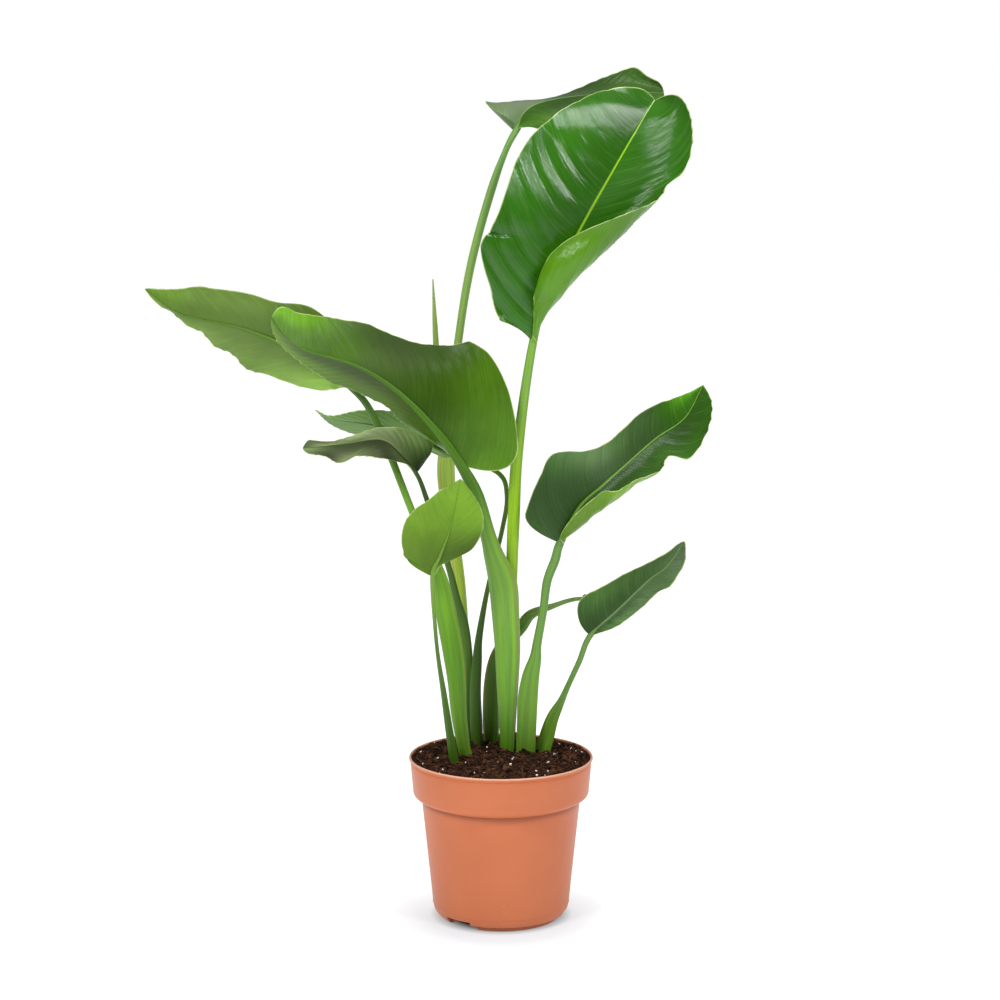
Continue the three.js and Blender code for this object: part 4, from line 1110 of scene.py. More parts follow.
def squared(direction, forward):
    """A direction made square to the way forward at each point, d - (d . f) f, with length 1."""
    given = np.broadcast_to(np.asarray(direction, float), forward.shape)
    return unit(given - np.sum(given * forward, axis=1, keepdims=True) * forward)


print("halfway from 0 to 1 on the curve through 0, 1 and 4:", smooth_along([0, 1, 4], np.array(0.25)))

# %% Midrib
RIB_STEPS, RIB_REACH = 300, 36


def midrib(leaf):
    """The midrib is the part of the leaf's whole line that lies past the stalk's last row."""
    below = [row[:3] for row in leaf["stem"][:-1]]
    knots = below + leaf["rib"]
    return evenly(knots, len(below) / (len(knots) - 1), RIB_STEPS + 1)


def rib_axes(leaf, x):
    """Place, lengthwise, upward and rightward directions of the blade at distances x along its midrib:
    lengthwise is a chord 72 steps long, upward is the given facing made square to it, rightward
    is their cross product. Beyond the midrib's ends the line runs straight on."""
    line, length = midrib(leaf)
    step = np.arange(RIB_STEPS + 1)
    chord = unit(line[np.minimum(step + RIB_REACH, RIB_STEPS)] - line[np.maximum(step - RIB_REACH, 0)])
    upward = squared(smooth_along(leaf["facing"], step / RIB_STEPS), chord)
    inside = np.clip(x, 0, length)
    at = inside / length * RIB_STEPS
    place, tip, up = (np.stack([np.interp(at, step, part) for part in table.T], axis=-1)
                      for table in (line, chord, upward))
    tip, up = unit(tip), unit(up)
    return place + tip * (x - inside)[..., None], tip, up, np.cross(tip, up)


longest = max(LEAVES, key=lambda name: midrib(LEAVES[name])[1])
print("longest blade:", longest, round(midrib(LEAVES[longest])[1]), "mm")

# %% [markdown]
# ## The stalks
#
# A bird of paradise stalk is an oval rod with a groove along its front. Low down it widens into a
# sheath that holds the younger stalk, one side lapped over the other. At the top it doesn't stop: it
# runs on under the blade as the midrib, thinner and thinner to the leaf's tip. So each stalk here is
# one tube swept along the whole line of the leaf. It sinks under the sheet where the blade begins.

# %% Stalk surface
STALK_SIDES, STALK_STEP = 44, 3.4
ROOT_DEPTH, ROOT_SHARE = 28, 0.9
TAPER_END, TAPER_POWER = 0.15, 2.2
# Distances past the blade's base, in mm, over which the tube turns to the blade, sinks under it by
# a little more than its own half depth, and closes its groove.
TURNS, SINKS, SINK_MORE, CLOSES = (-70, 5), (-18, 22), 0.15, (-20, 10)
# The lap: its height in mm, its shares of a turn, how deep a groove makes a sheath, and the last
# stretch below the blade over which it dies away.
LAP_STEP, LAP_RISE, LAP_EDGE, LAP_FULL = 0.9, 0.03, 0.03, 0.02
SHEATH, LAP_ENDS = (0.3, 0.6), (0, 40)


def stalk_surface(leaf, lap_at):
    """Points P(s, a) = line(s) + right (w/2) cos a + up (d/2) sin a (1 - groove where sin a > 0).
    Where the stalk is a sheath, one side laps over the other at the angle lap_at: the surface rises
    there at once and falls back slowly over the turn, as (1 - t)² with t the part of a turn.
    From the blade's base on, w and d shrink as 0.15 + 0.85 (1 - share)^2.2, and the line sinks by d/2
    so that the tube hangs under the sheet. up turns from the stalk's open side to the blade's facing.
    Gives the points, and for each the distance along, past the base, its groove, angle and lap."""
    x, y, z, width, depth, groove = leaf["stem"][0]
    foot = [x, y, z - ROOT_DEPTH, width * ROOT_SHARE, depth * ROOT_SHARE, groove]
    top_row = leaf["stem"][-1]
    rows = [foot] + leaf["stem"] + [point + top_row[3:] for point in leaf["rib"][1:]]
    _, rib_length = midrib(leaf)
    _, whole = evenly(rows, 0, 2)
    stations = int(whole / STALK_STEP)
    line, whole = evenly(rows, 0, stations)
    gone = np.linspace(0, whole, stations)
    past = gone - (whole - rib_length)
    share = np.clip(past / rib_length, 0, 1)
    forward = unit(np.gradient(line[:, :3], axis=0))
    opened = squared(leaf["open"], forward)
    blade_up = squared(rib_axes(leaf, past)[2], forward)
    beside = np.cross(forward, opened)
    turn = np.arctan2(np.sum(blade_up * beside, axis=1), np.sum(blade_up * opened, axis=1))
    turn = turn * ease(*TURNS, past)
    up = opened * np.cos(turn)[:, None] + beside * np.sin(turn)[:, None]
    right = np.cross(forward, up)
    taper = TAPER_END + (1 - TAPER_END) * (1 - share) ** TAPER_POWER
    wide, deep = line[:, 3] * taper / 2, line[:, 4] * taper / 2
    centre = line[:, :3] - up * (ease(*SINKS, past) * (deep + SINK_MORE))[:, None]
    cosine, sine = np.cos(circle(STALK_SIDES)), np.sin(circle(STALK_SIDES))
    high = np.where(sine > 0, 1 - line[:, 5:6] * (1 - ease(*CLOSES, past))[:, None], 1.0)
    turned_by = ((circle(STALK_SIDES) - math.radians(lap_at)) / (2 * np.pi)) % 1
    rise = LAP_STEP * ease(0, LAP_RISE, turned_by) * (1 - turned_by) ** 2
    rise = rise[None, :] * (ease(*SHEATH, line[:, 5]) * ease(*LAP_ENDS, -past))[:, None]
    points = (centre[:, None] + right[:, None] * ((wide[:, None] + rise) * cosine)[..., None]
              + up[:, None] * ((deep[:, None] + rise) * sine * high)[..., None])
    lap = ease(LAP_EDGE, LAP_FULL, np.minimum(turned_by, 1 - turned_by)) * (turned_by < 0.5)
    return points, gone, past, line[:, 5], cosine, sine, lap


print("a stalk ring has", STALK_SIDES, "points, one every", STALK_STEP, "mm")

# %% [markdown]
# ### The stalks' skin
#
# A stalk is waxy and streaked lengthwise, paler on the sheath, darker at the foot and the neck, and
# where the sheath laps over, its edge is dry. The streaks can't follow object coordinates, because
# the stalks lean and bend. So the mesh keeps, at each vertex, the cosine and sine of its angle and
# how far it lies along the stalk, and the noise is read in those three numbers: stretched along the
# third, it turns into threads that bend with the stalk, and there is no seam.

# %% Stalk finish
PALE_STREAK, SHADY_STREAK, DARK_THREAD = rgb(214, 220, 150), rgb(150, 190, 110), rgb(70, 104, 40)
STREAK_SHARE = 0.26


def stalk_skin(name, colours, margin):
    """Waxy stalk: colours from the foot to under the blade, fine pale and dark streaks that run along
    it, and a dry margin where one side of the sheath laps over the other."""
    material, shader = new_material(name, 0.38, 0.3)
    side, front, gone = named(shader, "side", "front", "gone")
    rise, sheath, lap = named(shader, "rise", "sheath", "lap")
    stripes = noise(shader, stretched(shader, (2.2, side), (2.2, front), (5, gone)), 1)
    threads = noise(shader, stretched(shader, (11, side), (11, front), (22, gone)), 1, 3, 0.6)
    colour = along(shader, rise, colours)
    colour = mix(shader, step_up(shader, stripes, 0.35, 0.7), colour, PALE_STREAK, "SOFT_LIGHT")
    shady = step_up(shader, stripes, 0.55, 0.25)
    colour = over(shader, colour, shady, STREAK_SHARE, SHADY_STREAK, "MULTIPLY")
    dark = step_up(shader, threads, 0.45, 0.75)
    colour = over(shader, colour, dark, STREAK_SHARE, DARK_THREAD, "MULTIPLY")
    colour = over(shader, colour, lap, sheath, rgb(*margin))
    put(shader, "Base Color", colour)
    put(shader, "Roughness", scaled(shader, threads, 0.34, 0.52))
    bump(shader, maths(shader, "ADD", threads, stripes), 0.00025)
    return material


print("streaks take", STREAK_SHARE, "of a stalk's colour")


# %% One stalk
# The colours reach the neck at 0.8 of the ramp, and the last one over this stretch past the base.
NECK_AT, UNDER_BLADE = 0.8, (-5, 25)


def with_poles(values, rings):
    """One value a ring, or one a side, spread over the tube's points, and 0 at the two poles."""
    spread = np.broadcast_to(values, (rings, STALK_SIDES))
    return np.concatenate([spread.ravel(), [0, 0]])


def leaf_stalk(name, colours, lap_at, margin):
    """Makes the stalk of one leaf: its colours at the foot, sheath, rod, neck and under the blade,
    the angle where its sheath laps over, and the colour of that edge."""
    points, gone, past, groove, cosine, sine, lap = stalk_surface(LEAVES[name], lap_at)
    mesh_points, faces = closed_tube(points)
    base = gone[np.searchsorted(past, 0)]
    rise = NECK_AT * np.minimum(gone / base, 1) + (1 - NECK_AT) * ease(*UNDER_BLADE, past)
    by_ring = {"gone": gone * MM, "rise": rise, "sheath": ease(*SHEATH, groove)}
    numbers = {key: values[:, None] for key, values in by_ring.items()}
    numbers |= {"side": cosine, "front": sine, "lap": lap}
    numbers = {key: with_poles(values, len(points)) for key, values in numbers.items()}
    skin = stalk_skin(name + "_stalk", colours, margin)
    piece = new_piece(name + "_stalk", mesh_points, faces, skin, numbers=numbers, sharp=70)
    place_piece(piece, "leaf_stalk", name + "_stem")


print("a stalk's colours reach its neck at", NECK_AT, "of the ramp")

# %% Make the stalks
# Colours at the foot, sheath, rod, neck and under the blade, the lap's angle, and its edge's colour.
STALKS = {
    "top_back": ([(92, 132, 36), (172, 200, 76), (152, 186, 104), (108, 148, 80), (80, 114, 40)],
                 322, (190, 160, 100)),
    "tall_front": ([(90, 134, 40), (134, 176, 50), (146, 192, 26), (122, 166, 76), (104, 152, 40)],
                   240, (150, 122, 76)),
    "broad_left": ([(72, 120, 20), (112, 162, 56), (118, 164, 70), (78, 120, 34), (66, 106, 8)],
                   204, (150, 150, 84)),
    "far_left": ([(112, 156, 50), (90, 140, 26), (120, 168, 62), (70, 108, 42), (84, 122, 34)],
                 216, (168, 134, 84)),
    "small_left": ([(84, 116, 30), (84, 120, 38), (76, 112, 42), (70, 102, 38), (62, 88, 28)],
                   290, (130, 132, 70)),
    "round_front": ([(64, 102, 16), (64, 100, 20), (78, 112, 42), (112, 150, 62), (104, 140, 50)],
                    60, (150, 122, 76)),
    "pale_behind": ([(62, 94, 18), (64, 98, 28), (88, 122, 48), (92, 130, 46), (84, 122, 40)],
                    210, (96, 92, 50)),
    "upper_right": ([(92, 132, 36), (112, 156, 60), (106, 148, 76), (104, 142, 78), (84, 120, 40)],
                    318, (184, 156, 100)),
    "lower_right": ([(92, 134, 32), (104, 144, 46), (96, 136, 66), (104, 140, 76), (86, 118, 48)],
                    318, (184, 156, 100)),
    "arched_back": ([(74, 106, 24), (88, 124, 40), (78, 112, 48), (116, 146, 84), (84, 112, 46)],
                    326, (150, 120, 76)),
}
for name, (colours, lap_at, margin) in STALKS.items():
    leaf_stalk(name, colours, lap_at, margin)

# %% [markdown]
# ## The blades
#
# A blade is a thin sheet hung on its midrib. Across each half it follows an arc whose angle is the
# lift plus the curl, so the point at the share v of the half's width is the sum of small steps of
# (cos angle, sin angle). That keeps the sheet's width however far it rolls, which bending a flat
# outline with a modifier would not. The outline is the width, times a rounding at base and tip.

# %% Outline and steps
STALK_HALF, TIP_HALF = 2.2, 1.0
ROUND_ENDS = [0.12, 0.15]
CROWDED = 0.15


def crowded_ends(count):
    """Shares from 0 to 1 that start and end slowly, as t² / (2 part), and run evenly between."""
    t = np.linspace(0, 1, count)
    slope = 1 / (1 - CROWDED)
    low = slope * t * t / (2 * CROWDED)
    high = 1 - slope * (1 - t) ** 2 / (2 * CROWDED)
    return np.where(t < CROWDED, low, np.where(t > 1 - CROWDED, high, slope * (t - CROWDED / 2)))


def half_width(half, u):
    """Half the blade's width at the share u of its length: the given widths on a smooth line, times a
    quarter-ellipse sqrt(1 - (1 - u / round)²) at the base and the same at the tip."""
    base, tip = half.get("round", ROUND_ENDS)
    a = 1 - np.minimum(u / base, 1)
    b = 1 - np.minimum((1 - u) / tip, 1)
    full = smooth_along(half["width"], u) * np.sqrt(1 - a * a) * np.sqrt(1 - b * b)
    return np.maximum(full, np.where(u < 0.5, STALK_HALF, TIP_HALF))


shares = np.linspace(0, 1, 101)
widest = {name: half_width(leaf["left"], shares).max() for name, leaf in LEAVES.items()}
print("widest left half:", max(widest, key=widest.get), round(max(widest.values())), "mm")

# %% Half a blade
FLAT_BASE, SWEEP_POWER, SUB_STEPS = 0.04, 1.6, 200


def half_blade(leaf, side, u, v):
    """Points of one half for all pairs of the shares u (base to tip) and v (midrib to margin):
    P = rib(x) + side right (S - h sin A) + up (U + h cos A), where A is the angle lift + curl, S and U
    are the sums of its cosine and sine, h is a slow wave that grows as v², and
    x = length u + sweep (half width) v^1.6, where sweep says how far a row runs towards the tip.
    Gives the points, the distance x and the half width."""
    half = leaf["right" if side > 0 else "left"]
    _, length = midrib(leaf)
    edge = half_width(half, u)
    turn = np.minimum(u / FLAT_BASE, 1)
    lift = np.radians(smooth_along(half["lift"], u)) * turn
    curl = np.radians(smooth_along(half["curl"], u)) * turn
    bend = half.get("bend", [[0], [1]])
    begin, finish = smooth_along(bend[0], u)[:, None], smooth_along(bend[1], u)[:, None]

    def angle_at(share):
        """The arc's angle in radians at shares of the width: the lift, and the curl inside the bend."""
        return lift[:, None] + curl[:, None] * np.clip((share - begin) / (finish - begin), 0, 1)

    middles = (np.arange(SUB_STEPS) + 0.5) / SUB_STEPS
    steps = angle_at(middles[None, :])
    grown = [np.cumsum(part(steps), axis=1) * edge[:, None] / SUB_STEPS for part in (np.cos, np.sin)]
    sums = [np.concatenate([np.zeros((len(u), 1)), g], axis=1) for g in grown]
    at = v * SUB_STEPS
    i = np.minimum(at.astype(int), SUB_STEPS - 1)
    sideways, upward = (s[:, i] + (s[:, i + 1] - s[:, i]) * (at - i) for s in sums)
    height, waves, phase = half.get("wave", [0, 1, 0])
    swell = np.sin(2 * np.pi * (waves * u + phase)) * np.sqrt(np.sin(np.pi * np.clip(u, 0, 1)))
    wave = height * v[None, :] ** 2 * swell[:, None]
    angle = angle_at(v[None, :])
    sweep = smooth_along(half["sweep"], u)
    x = length * u[:, None] + (sweep * edge)[:, None] * v[None, :] ** SWEEP_POWER
    place, _, up, right = rib_axes(leaf, x)
    points = (place + side * right * (sideways - wave * np.sin(angle))[..., None]
              + up * (upward + wave * np.cos(angle))[..., None])
    return points, x, edge


print("each row across a half is summed from", SUB_STEPS, "steps")

# %% [markdown]
# ### Veins and pleats
#
# The side veins leave the midrib at an angle and bend towards the tip, and the skin swells a little
# between them like a shallow pleat, which is what breaks up the shine. A bump texture could fake it,
# but a fold also shows at the margin and in the shadow, so the pleats are part of the surface. Each
# point knows the place p on the midrib where its vein starts. Everything else follows from p.

# %% Veins and pleats
VEIN_BOW = 0.45
VALLEY, VALLEY_LEVEL = 0.6, 0.65
FINE_SPACING, FINE_DEPTH = 4.6, 0.1


def vein_place(x, out, edge, slant):
    """Where the side vein through a point leaves the midrib. A vein is x = p + out (slant + bow out /
    edge): slant is the tangent of its angle off square where it starts, and it leans more further out."""
    return x - out * (slant + VEIN_BOW * out / edge)


def pleats(p, out, edge, share, spacing, depth, seed):
    """Height of the skin between its veins, counted by n = p / spacing: |sin(pi n)|^0.6 - 0.65 has a
    narrow valley at each vein and round crests between. The depth grows from the midrib to the margin
    and changes slowly along the leaf. Finer pleats, 4.6 mm apart and 0.1 mm deep, lie on top."""
    number = p / spacing + 0.35 * lumps(p, p * 0, 61, seed)
    strong = depth * (0.75 + 0.35 * lumps(p, out, 67, seed + 1)) * ease(0.05, 0.7, out / edge)
    broad = strong * (np.abs(np.sin(np.pi * number)) ** VALLEY - VALLEY_LEVEL)
    fine = FINE_DEPTH * ease(2, 10, out) * (np.abs(np.sin(np.pi * p / FINE_SPACING)) - 0.6)
    return (broad + fine) * ease(0, 0.07, share) * ease(0, 0.06, 1 - share)


print("fine pleats:", FINE_SPACING, "mm apart")

# %% Sheet with a margin
BLADE_THICK, MARGIN_THICK = 0.9, 0.45
V_POWER = 1.35
CHANNEL_DEPTH = 0.6
HALVES_APART = 400


def sheet_faces(rows, columns):
    """Faces of an upper and a lower grid of points, joined round their border."""
    upper = grid_faces(rows, columns)
    below = rows * columns
    r, c = np.arange(rows), np.arange(columns)
    parts = [c[:-1], r[:-1] * columns + columns - 1, (rows - 1) * columns + c[:0:-1], r[:0:-1] * columns]
    border = np.concatenate(parts)
    after = np.roll(border, -1)
    rim = np.stack([border, border + below, after + below, after], axis=1)
    return [upper, upper[:, ::-1] + below, rim]


def blade_surface(leaf, look, rows, columns, seed):
    """Both halves side by side as one sheet S, thickened along its normals N: S + N (t/2 + pleat -
    channel) above and S - N (t/2 - pleat) below, with t thinner towards the margin. Gives points,
    faces, a pair (along, across) and the named numbers for the finish."""
    u = crowded_ends(rows)
    v = np.linspace(0, 1, columns) ** V_POWER
    left, x_left, edge_left = half_blade(leaf, -1, u, v)
    right, x_right, edge_right = half_blade(leaf, 1, u, v)
    sheet = np.concatenate([left[:, ::-1], right[:, 1:]], axis=1)
    x = np.concatenate([x_left[:, ::-1], x_right[:, 1:]], axis=1)
    side = np.repeat([-1.0, 1.0], [columns, columns - 1])
    reach = np.concatenate([v[::-1], v[1:]])
    edge = np.where(side < 0, edge_left[:, None], edge_right[:, None])
    out = edge * reach
    share = np.repeat(u[:, None], 2 * columns - 1, 1)

    def of_side(key):
        """A value of the look at each point, from base to tip, of the half that the point lies in."""
        both = [smooth_along(look[half][key], u)[:, None] for half in ("left", "right")]
        return np.where(side < 0, *both)

    p = vein_place(x, out, edge, of_side("slant"))
    apart = p + HALVES_APART * (side > 0)
    rise = pleats(apart, out, edge, share, of_side("spacing"), of_side("depth"), seed)
    normal = unit(np.cross(np.gradient(sheet, axis=1), np.gradient(sheet, axis=0)))
    thick = BLADE_THICK + (MARGIN_THICK - BLADE_THICK) * reach**3
    channel = CHANNEL_DEPTH * (1 - 0.7 * share) * np.exp(-((out / (1.9 - 1.1 * share)) ** 2))
    upper = sheet + normal * (thick / 2 + rise - channel)[..., None]
    lower = sheet - normal * (thick / 2 - rise)[..., None]
    # The grey wax is waxy bloom and painted sheen of grazing light.
    wax_and_sheen = of_side("wax_and_sheen")
    midrib_tone_and_light, margin_tone_and_light = of_side("midrib_tone_and_light"), of_side("margin_tone_and_light")
    numbers = {
        "vein": p * MM,
        "out": out * MM,
        "rim": np.minimum(edge - out, (1 - share) * midrib(leaf)[1] + TIP_HALF) * MM,
        "share": share,
        "wax_and_sheen": np.clip(wax_and_sheen + 0.3 * wax_and_sheen * lumps(x, out * side, 19, seed + 2), 0, 1),
        # tone multiplies the colour: painted light and shade, and the leaf's own tone.
        "tone": midrib_tone_and_light + (margin_tone_and_light - midrib_tone_and_light) * ease(0.2, 0.8, reach),
    }
    numbers = {key: np.tile(value.ravel(), 2) for key, value in numbers.items()}
    numbers["under"] = np.repeat([0.0, 1.0], share.size)
    uv = np.stack([x, out * side], axis=-1).reshape(-1, 2) * MM
    points = np.concatenate([upper.reshape(-1, 3), lower.reshape(-1, 3)])
    return points, sheet_faces(rows, 2 * columns - 1), np.concatenate([uv, uv]), numbers


print("a blade is", BLADE_THICK, "mm thick, its margin", MARGIN_THICK, "mm")

# %% [markdown]
# ### The leaves' skin
#
# The upper side is dark, leathery and glossy, the underside lighter and duller, with a greyish wax in
# places, whose grey also paints the sheen that grazing light gives. Light leaves its own pattern: faint
# streaks and dark lines along the veins, cloudy patches, a pale midrib that narrows to the tip and a
# thin light margin. All of it runs with the veins, so the finish reads the place p of each point's vein
# and its distance from the midrib, not object coordinates. The sheet's slow changes from base to tip
# are named numbers of the mesh as well, and its tone among them paints light and shade on the leaf
# besides its own colour.

# %% Leaf finish
PALE_STREAKS, PALE_SHARE = rgb(170, 190, 110), 0.11
CLOUDS, CLOUD_SHARE = rgb(140, 160, 110), 0.35
FINE_LINES, LINES_ABOVE, LINES_BELOW = rgb(110, 130, 80), 0.28, 0.18
WAX_AND_SHEEN_SHARE, RIB_NARROWS, THREAD_SPACING = 0.85, 0.75, 0.0013
RIM_FROM, RIM_FULL = 0.0011, 0.0003


def leaf_skin(name, look):
    """Leathery leaf: upper and under colours, faint streaks and fine lines along the side veins,
    cloudy darker patches, a greyish wax where the mesh says so, which also paints grey sheen, the
    mesh's tone, which paints light and shade as well as the leaf's own colour, a midrib line that
    narrows to the tip and a thin pale margin. Wax and the underside are less glossy."""
    gloss, rib_half = look["gloss"], look["rib_half"] * MM
    material, shader = new_material(name, gloss, look["shine"])
    vein, out, share, below = named(shader, "vein", "out", "share", "under")
    wax_and_sheen, tone, rim = named(shader, "wax_and_sheen", "tone", "rim")
    place = place_of(shader)
    streak = noise(shader, stretched(shader, (330, vein), (26, out), (1, below)), 1, 3, 0.6)
    cloud = noise(shader, place, scale=22, detail=3)
    colour = mix(shader, below, rgb(*look["upper"]), rgb(*look["under"]))
    screened = mix(shader, 1.0, colour, PALE_STREAKS, "SCREEN")
    colour = over(shader, colour, step_up(shader, streak, 0.5, 0.8), PALE_SHARE, screened)
    colour = over(shader, colour, step_up(shader, cloud, 0.42, 0.72), CLOUD_SHARE, CLOUDS, "MULTIPLY")
    lines = maths(shader, "SINE", maths(shader, "MULTIPLY", vein, math.pi / (FINE_SPACING * MM)))
    thin = maths(shader, "SUBTRACT", 1.0, maths(shader, "ABSOLUTE", lines))
    fine = scaled(shader, below, LINES_ABOVE, LINES_BELOW)
    colour = over(shader, colour, maths(shader, "POWER", thin, 4.0), fine, FINE_LINES, "MULTIPLY")
    # Grey wax: waxy bloom and painted sheen of grazing light.
    colour = over(shader, colour, wax_and_sheen, WAX_AND_SHEEN_SHARE, rgb(*look["wax_and_sheen_colour"]))
    # The mesh's tone: painted light and shade, and the leaf's own tone.
    shade = node(shader, "CombineXYZ", {k: tone for k in range(3)})
    colour = mix(shader, 1.0, colour, shade, "MULTIPLY")
    half = maths(shader, "MULTIPLY_ADD", share, -RIB_NARROWS * rib_half, rib_half)
    on_rib = step_up(shader, maths(shader, "DIVIDE", out, half), 1.3, 0.6)
    colour = mix(shader, on_rib, colour, rgb(*look["rib"]))
    worn = step_up(shader, noise(shader, place, scale=60), 0.25, 0.55)
    colour = over(shader, colour, step_up(shader, rim, RIM_FROM, RIM_FULL), worn, rgb(*look["rim"]))
    put(shader, "Base Color", colour)
    rough = scaled(shader, streak, gloss - 0.05, gloss + 0.07)
    rough = maths(shader, "MULTIPLY_ADD", below, 0.05, rough)
    put(shader, "Roughness", maths(shader, "MULTIPLY_ADD", wax_and_sheen, 0.2, rough))
    threads = maths(shader, "SINE", maths(shader, "MULTIPLY", vein, 2 * math.pi / THREAD_SPACING))
    ridges = maths(shader, "MULTIPLY_ADD", threads, 0.2, maths(shader, "MULTIPLY", streak, 1.2))
    bump(shader, ridges, 0.00018)
    return material


print("fine lines on a leaf:", FINE_SPACING, "mm apart, threads", round(THREAD_SPACING / MM, 1))

# %% [markdown]
# ### What each leaf looks like
#
# No two leaves are alike: they differ in age, in how they face the light and in how much wax is left
# on them. So each one has its own colours, and for each half a few numbers that run from base to tip:
# how much its colour is brightened and darkened near the midrib and near the margin, which paints light
# and shade on it as well as its own tone, how deep the pleats are, and where the wax lies, whose grey
# also paints the sheen of grazing light.


# %% Words for a look
def half_look(spacing, depth, slant, midrib_tone_and_light=(1,), margin_tone_and_light=None, wax_and_sheen=(0,)):
    """Veins of one half: distance and depth of the pleats in mm, and slant. Then from base to tip how
    much the sheet's colour is brightened and darkened near the midrib and near the margin, which paints
    light and shade besides its own tone, and how much wax it has (0 to 1), whose grey paints sheen too."""
    depths = depth if isinstance(depth, list) else [depth]
    return {"spacing": [spacing], "depth": depths, "slant": [slant],
            "midrib_tone_and_light": midrib_tone_and_light, "margin_tone_and_light": margin_tone_and_light or midrib_tone_and_light, "wax_and_sheen": wax_and_sheen}


def look(upper, under, rib, rib_half, gloss, left, right, wax_and_sheen=(122, 130, 112), shine=0.2):
    """Colours of one leaf as in a picture, half the midrib's width in mm, and how rough its shine is."""
    return {"upper": upper, "under": under, "rib": rib, "rib_half": rib_half, "gloss": gloss,
            "left": left, "right": right, "wax_and_sheen_colour": wax_and_sheen, "rim": (186, 202, 130), "shine": shine}


# Each half's tone lists paint light and shade on the leaf as well as its own tone.
LOOKS = {}
print("a plain half:", half_look(12, 1, 0.8))

# %% Looks of the upper leaves
LOOKS["top_back"] = look(
    (66, 108, 32), (80, 112, 44), (112, 150, 80), 0.9, 0.3,
    half_look(15, 1.2, 0.6, [1, 0.9, 0.6, 0.6, 0.7, 0.6], [1.3, 0.8, 0.5, 0.5, 0.75, 0.85],
              [0.2, 0.7, 0.1, 0, 0, 0]),
    half_look(15, 1.0, 0.6, [0.8, 0.6, 0.4, 0.6, 0.9, 0.9], [1.3, 1.2, 0.9]))
LOOKS["tall_front"] = look(
    (46, 108, 6), (92, 150, 8), (138, 186, 34), 1.9, 0.17,
    half_look(23, [3, 4.4, 4.6, 3.6, 1.2, 0.6], 0.1, [1.2, 1.0, 0.9, 0.75, 0.6, 0.7],
              [1, 0.95, 1, 1, 0.9, 0.8]),
    half_look(14, [1.2, 1.8, 1.8, 1.6, 0.8], 0.8, [1, 0.9, 0.9, 0.95, 0.9, 0.9],
              [0.9, 0.9, 0.8, 0.8, 1.1, 0.7]),
    shine=0.4)
LOOKS["upper_right"] = look(
    (52, 104, 8), (108, 156, 14), (126, 170, 66), 1.4, 0.23,
    half_look(21, 2.0, 0.3, [0.55, 0.5, 0.9, 0.6, 0.85, 1.3], [0.7, 0.5, 1.5, 0.8, 1.2, 3.4],
              [0.1, 0.05, 0.3, 0.2, 0, 0]),
    half_look(16, 1.4, 0.5, [0.7, 0.8, 0.7, 0.7, 0.5, 0.8], [0.7, 0.8, 1.2, 1.1, 0.9, 0.9],
              [0.1, 0.1, 0.1, 0]),
    shine=0.26)
LOOKS["lower_right"] = look(
    (56, 96, 30), (92, 130, 30), (106, 140, 80), 1.0, 0.28,
    half_look(16, 1.5, 0.4, [0.5, 0.7, 0.75, 0.8, 1.1, 0.9], [0.5, 1.2, 1.1, 0.9, 0.9, 0.9],
              [0, 0.1, 0.4]),
    half_look(14, 1.3, 0.5, [0.8, 0.8, 0.9, 1, 1, 0.6], [1.1, 1.7, 1.3, 1.1, 1.1, 0.7],
              [0, 0.2, 0.4]))
LOOKS["arched_back"] = look(
    (60, 98, 34), (84, 116, 54), (110, 140, 70), 0.7, 0.35,
    half_look(10, 0.5, 0.6), half_look(10, 0.5, 0.6))
print("looks so far:", len(LOOKS))

# %% Looks of the leaves at the left and in front
LOOKS["broad_left"] = look(
    (70, 112, 22), (74, 118, 4), (64, 104, 0), 0.85, 0.26,
    half_look(17, 1.4, 0.7, [0.95, 0.58, 0.48, 0.75, 0.75, 1.3], [1.4, 0.68, 0.42, 0.5, 1.3, 2.3],
              [0, 0, 0.05, 0.5, 0.12, 0, 0]),
    half_look(12, 1.4, 0.9, [0.6, 0.9, 0.65, 0.55, 0.65, 1.5], [0.8, 1.4, 1.3, 1.4, 1.6, 2],
              [0, 0.3, 0.6, 0.7, 0.6, 0.5]),
    wax_and_sheen=(88, 104, 54))
LOOKS["far_left"] = look(
    (84, 128, 36), (96, 134, 34), (104, 142, 44), 0.8, 0.36,
    half_look(18, 1.8, 0.9, [0.7, 0.7, 0.7, 0.75, 0.8, 1], [1.2, 1, 1, 1.1, 1.2], [0, 0.2, 0.2, 0]),
    half_look(18, 2.0, 0.9, [1, 1.1, 0.85, 0.85, 1, 1.1], [2.8, 2.2, 1.2, 1.1, 1.3, 1.2],
              [0, 0.2, 0.3, 0.3, 0.2]),
    wax_and_sheen=(130, 142, 100))
LOOKS["small_left"] = look(
    (56, 84, 26), (60, 92, 30), (60, 90, 30), 1.0, 0.34,
    half_look(12, 1.1, 0.8, [1.3, 0.9, 0.46, 0.65, 1, 3], [0.8, 0.5, 0.7, 1.5, 0.4, 1.8],
              [0.4, 0.6, 0.4]),
    half_look(12, 1.1, 0.8, [0.2, 1.9, 2, 1.3, 2.3, 0.7], [0.3, 3.2, 1.8, 2.8, 1.1, 0.8],
              [0.1, 0.7, 0.6]),
    wax_and_sheen=(130, 136, 104))
LOOKS["round_front"] = look(
    (92, 140, 36), (116, 158, 40), (136, 172, 70), 0.8, 0.42,
    half_look(11, 0.9, 0.8, [1, 0.42, 0.6, 1.1, 1.25, 1], [1.6, 0.45, 0.55, 1.15, 1.2, 0.8]),
    half_look(11, 0.9, 0.8, [0.55, 0.55, 0.8, 1, 1.25, 0.95], [0.6, 0.75, 0.95, 0.95, 1.1, 0.75]),
    wax_and_sheen=(122, 134, 96))
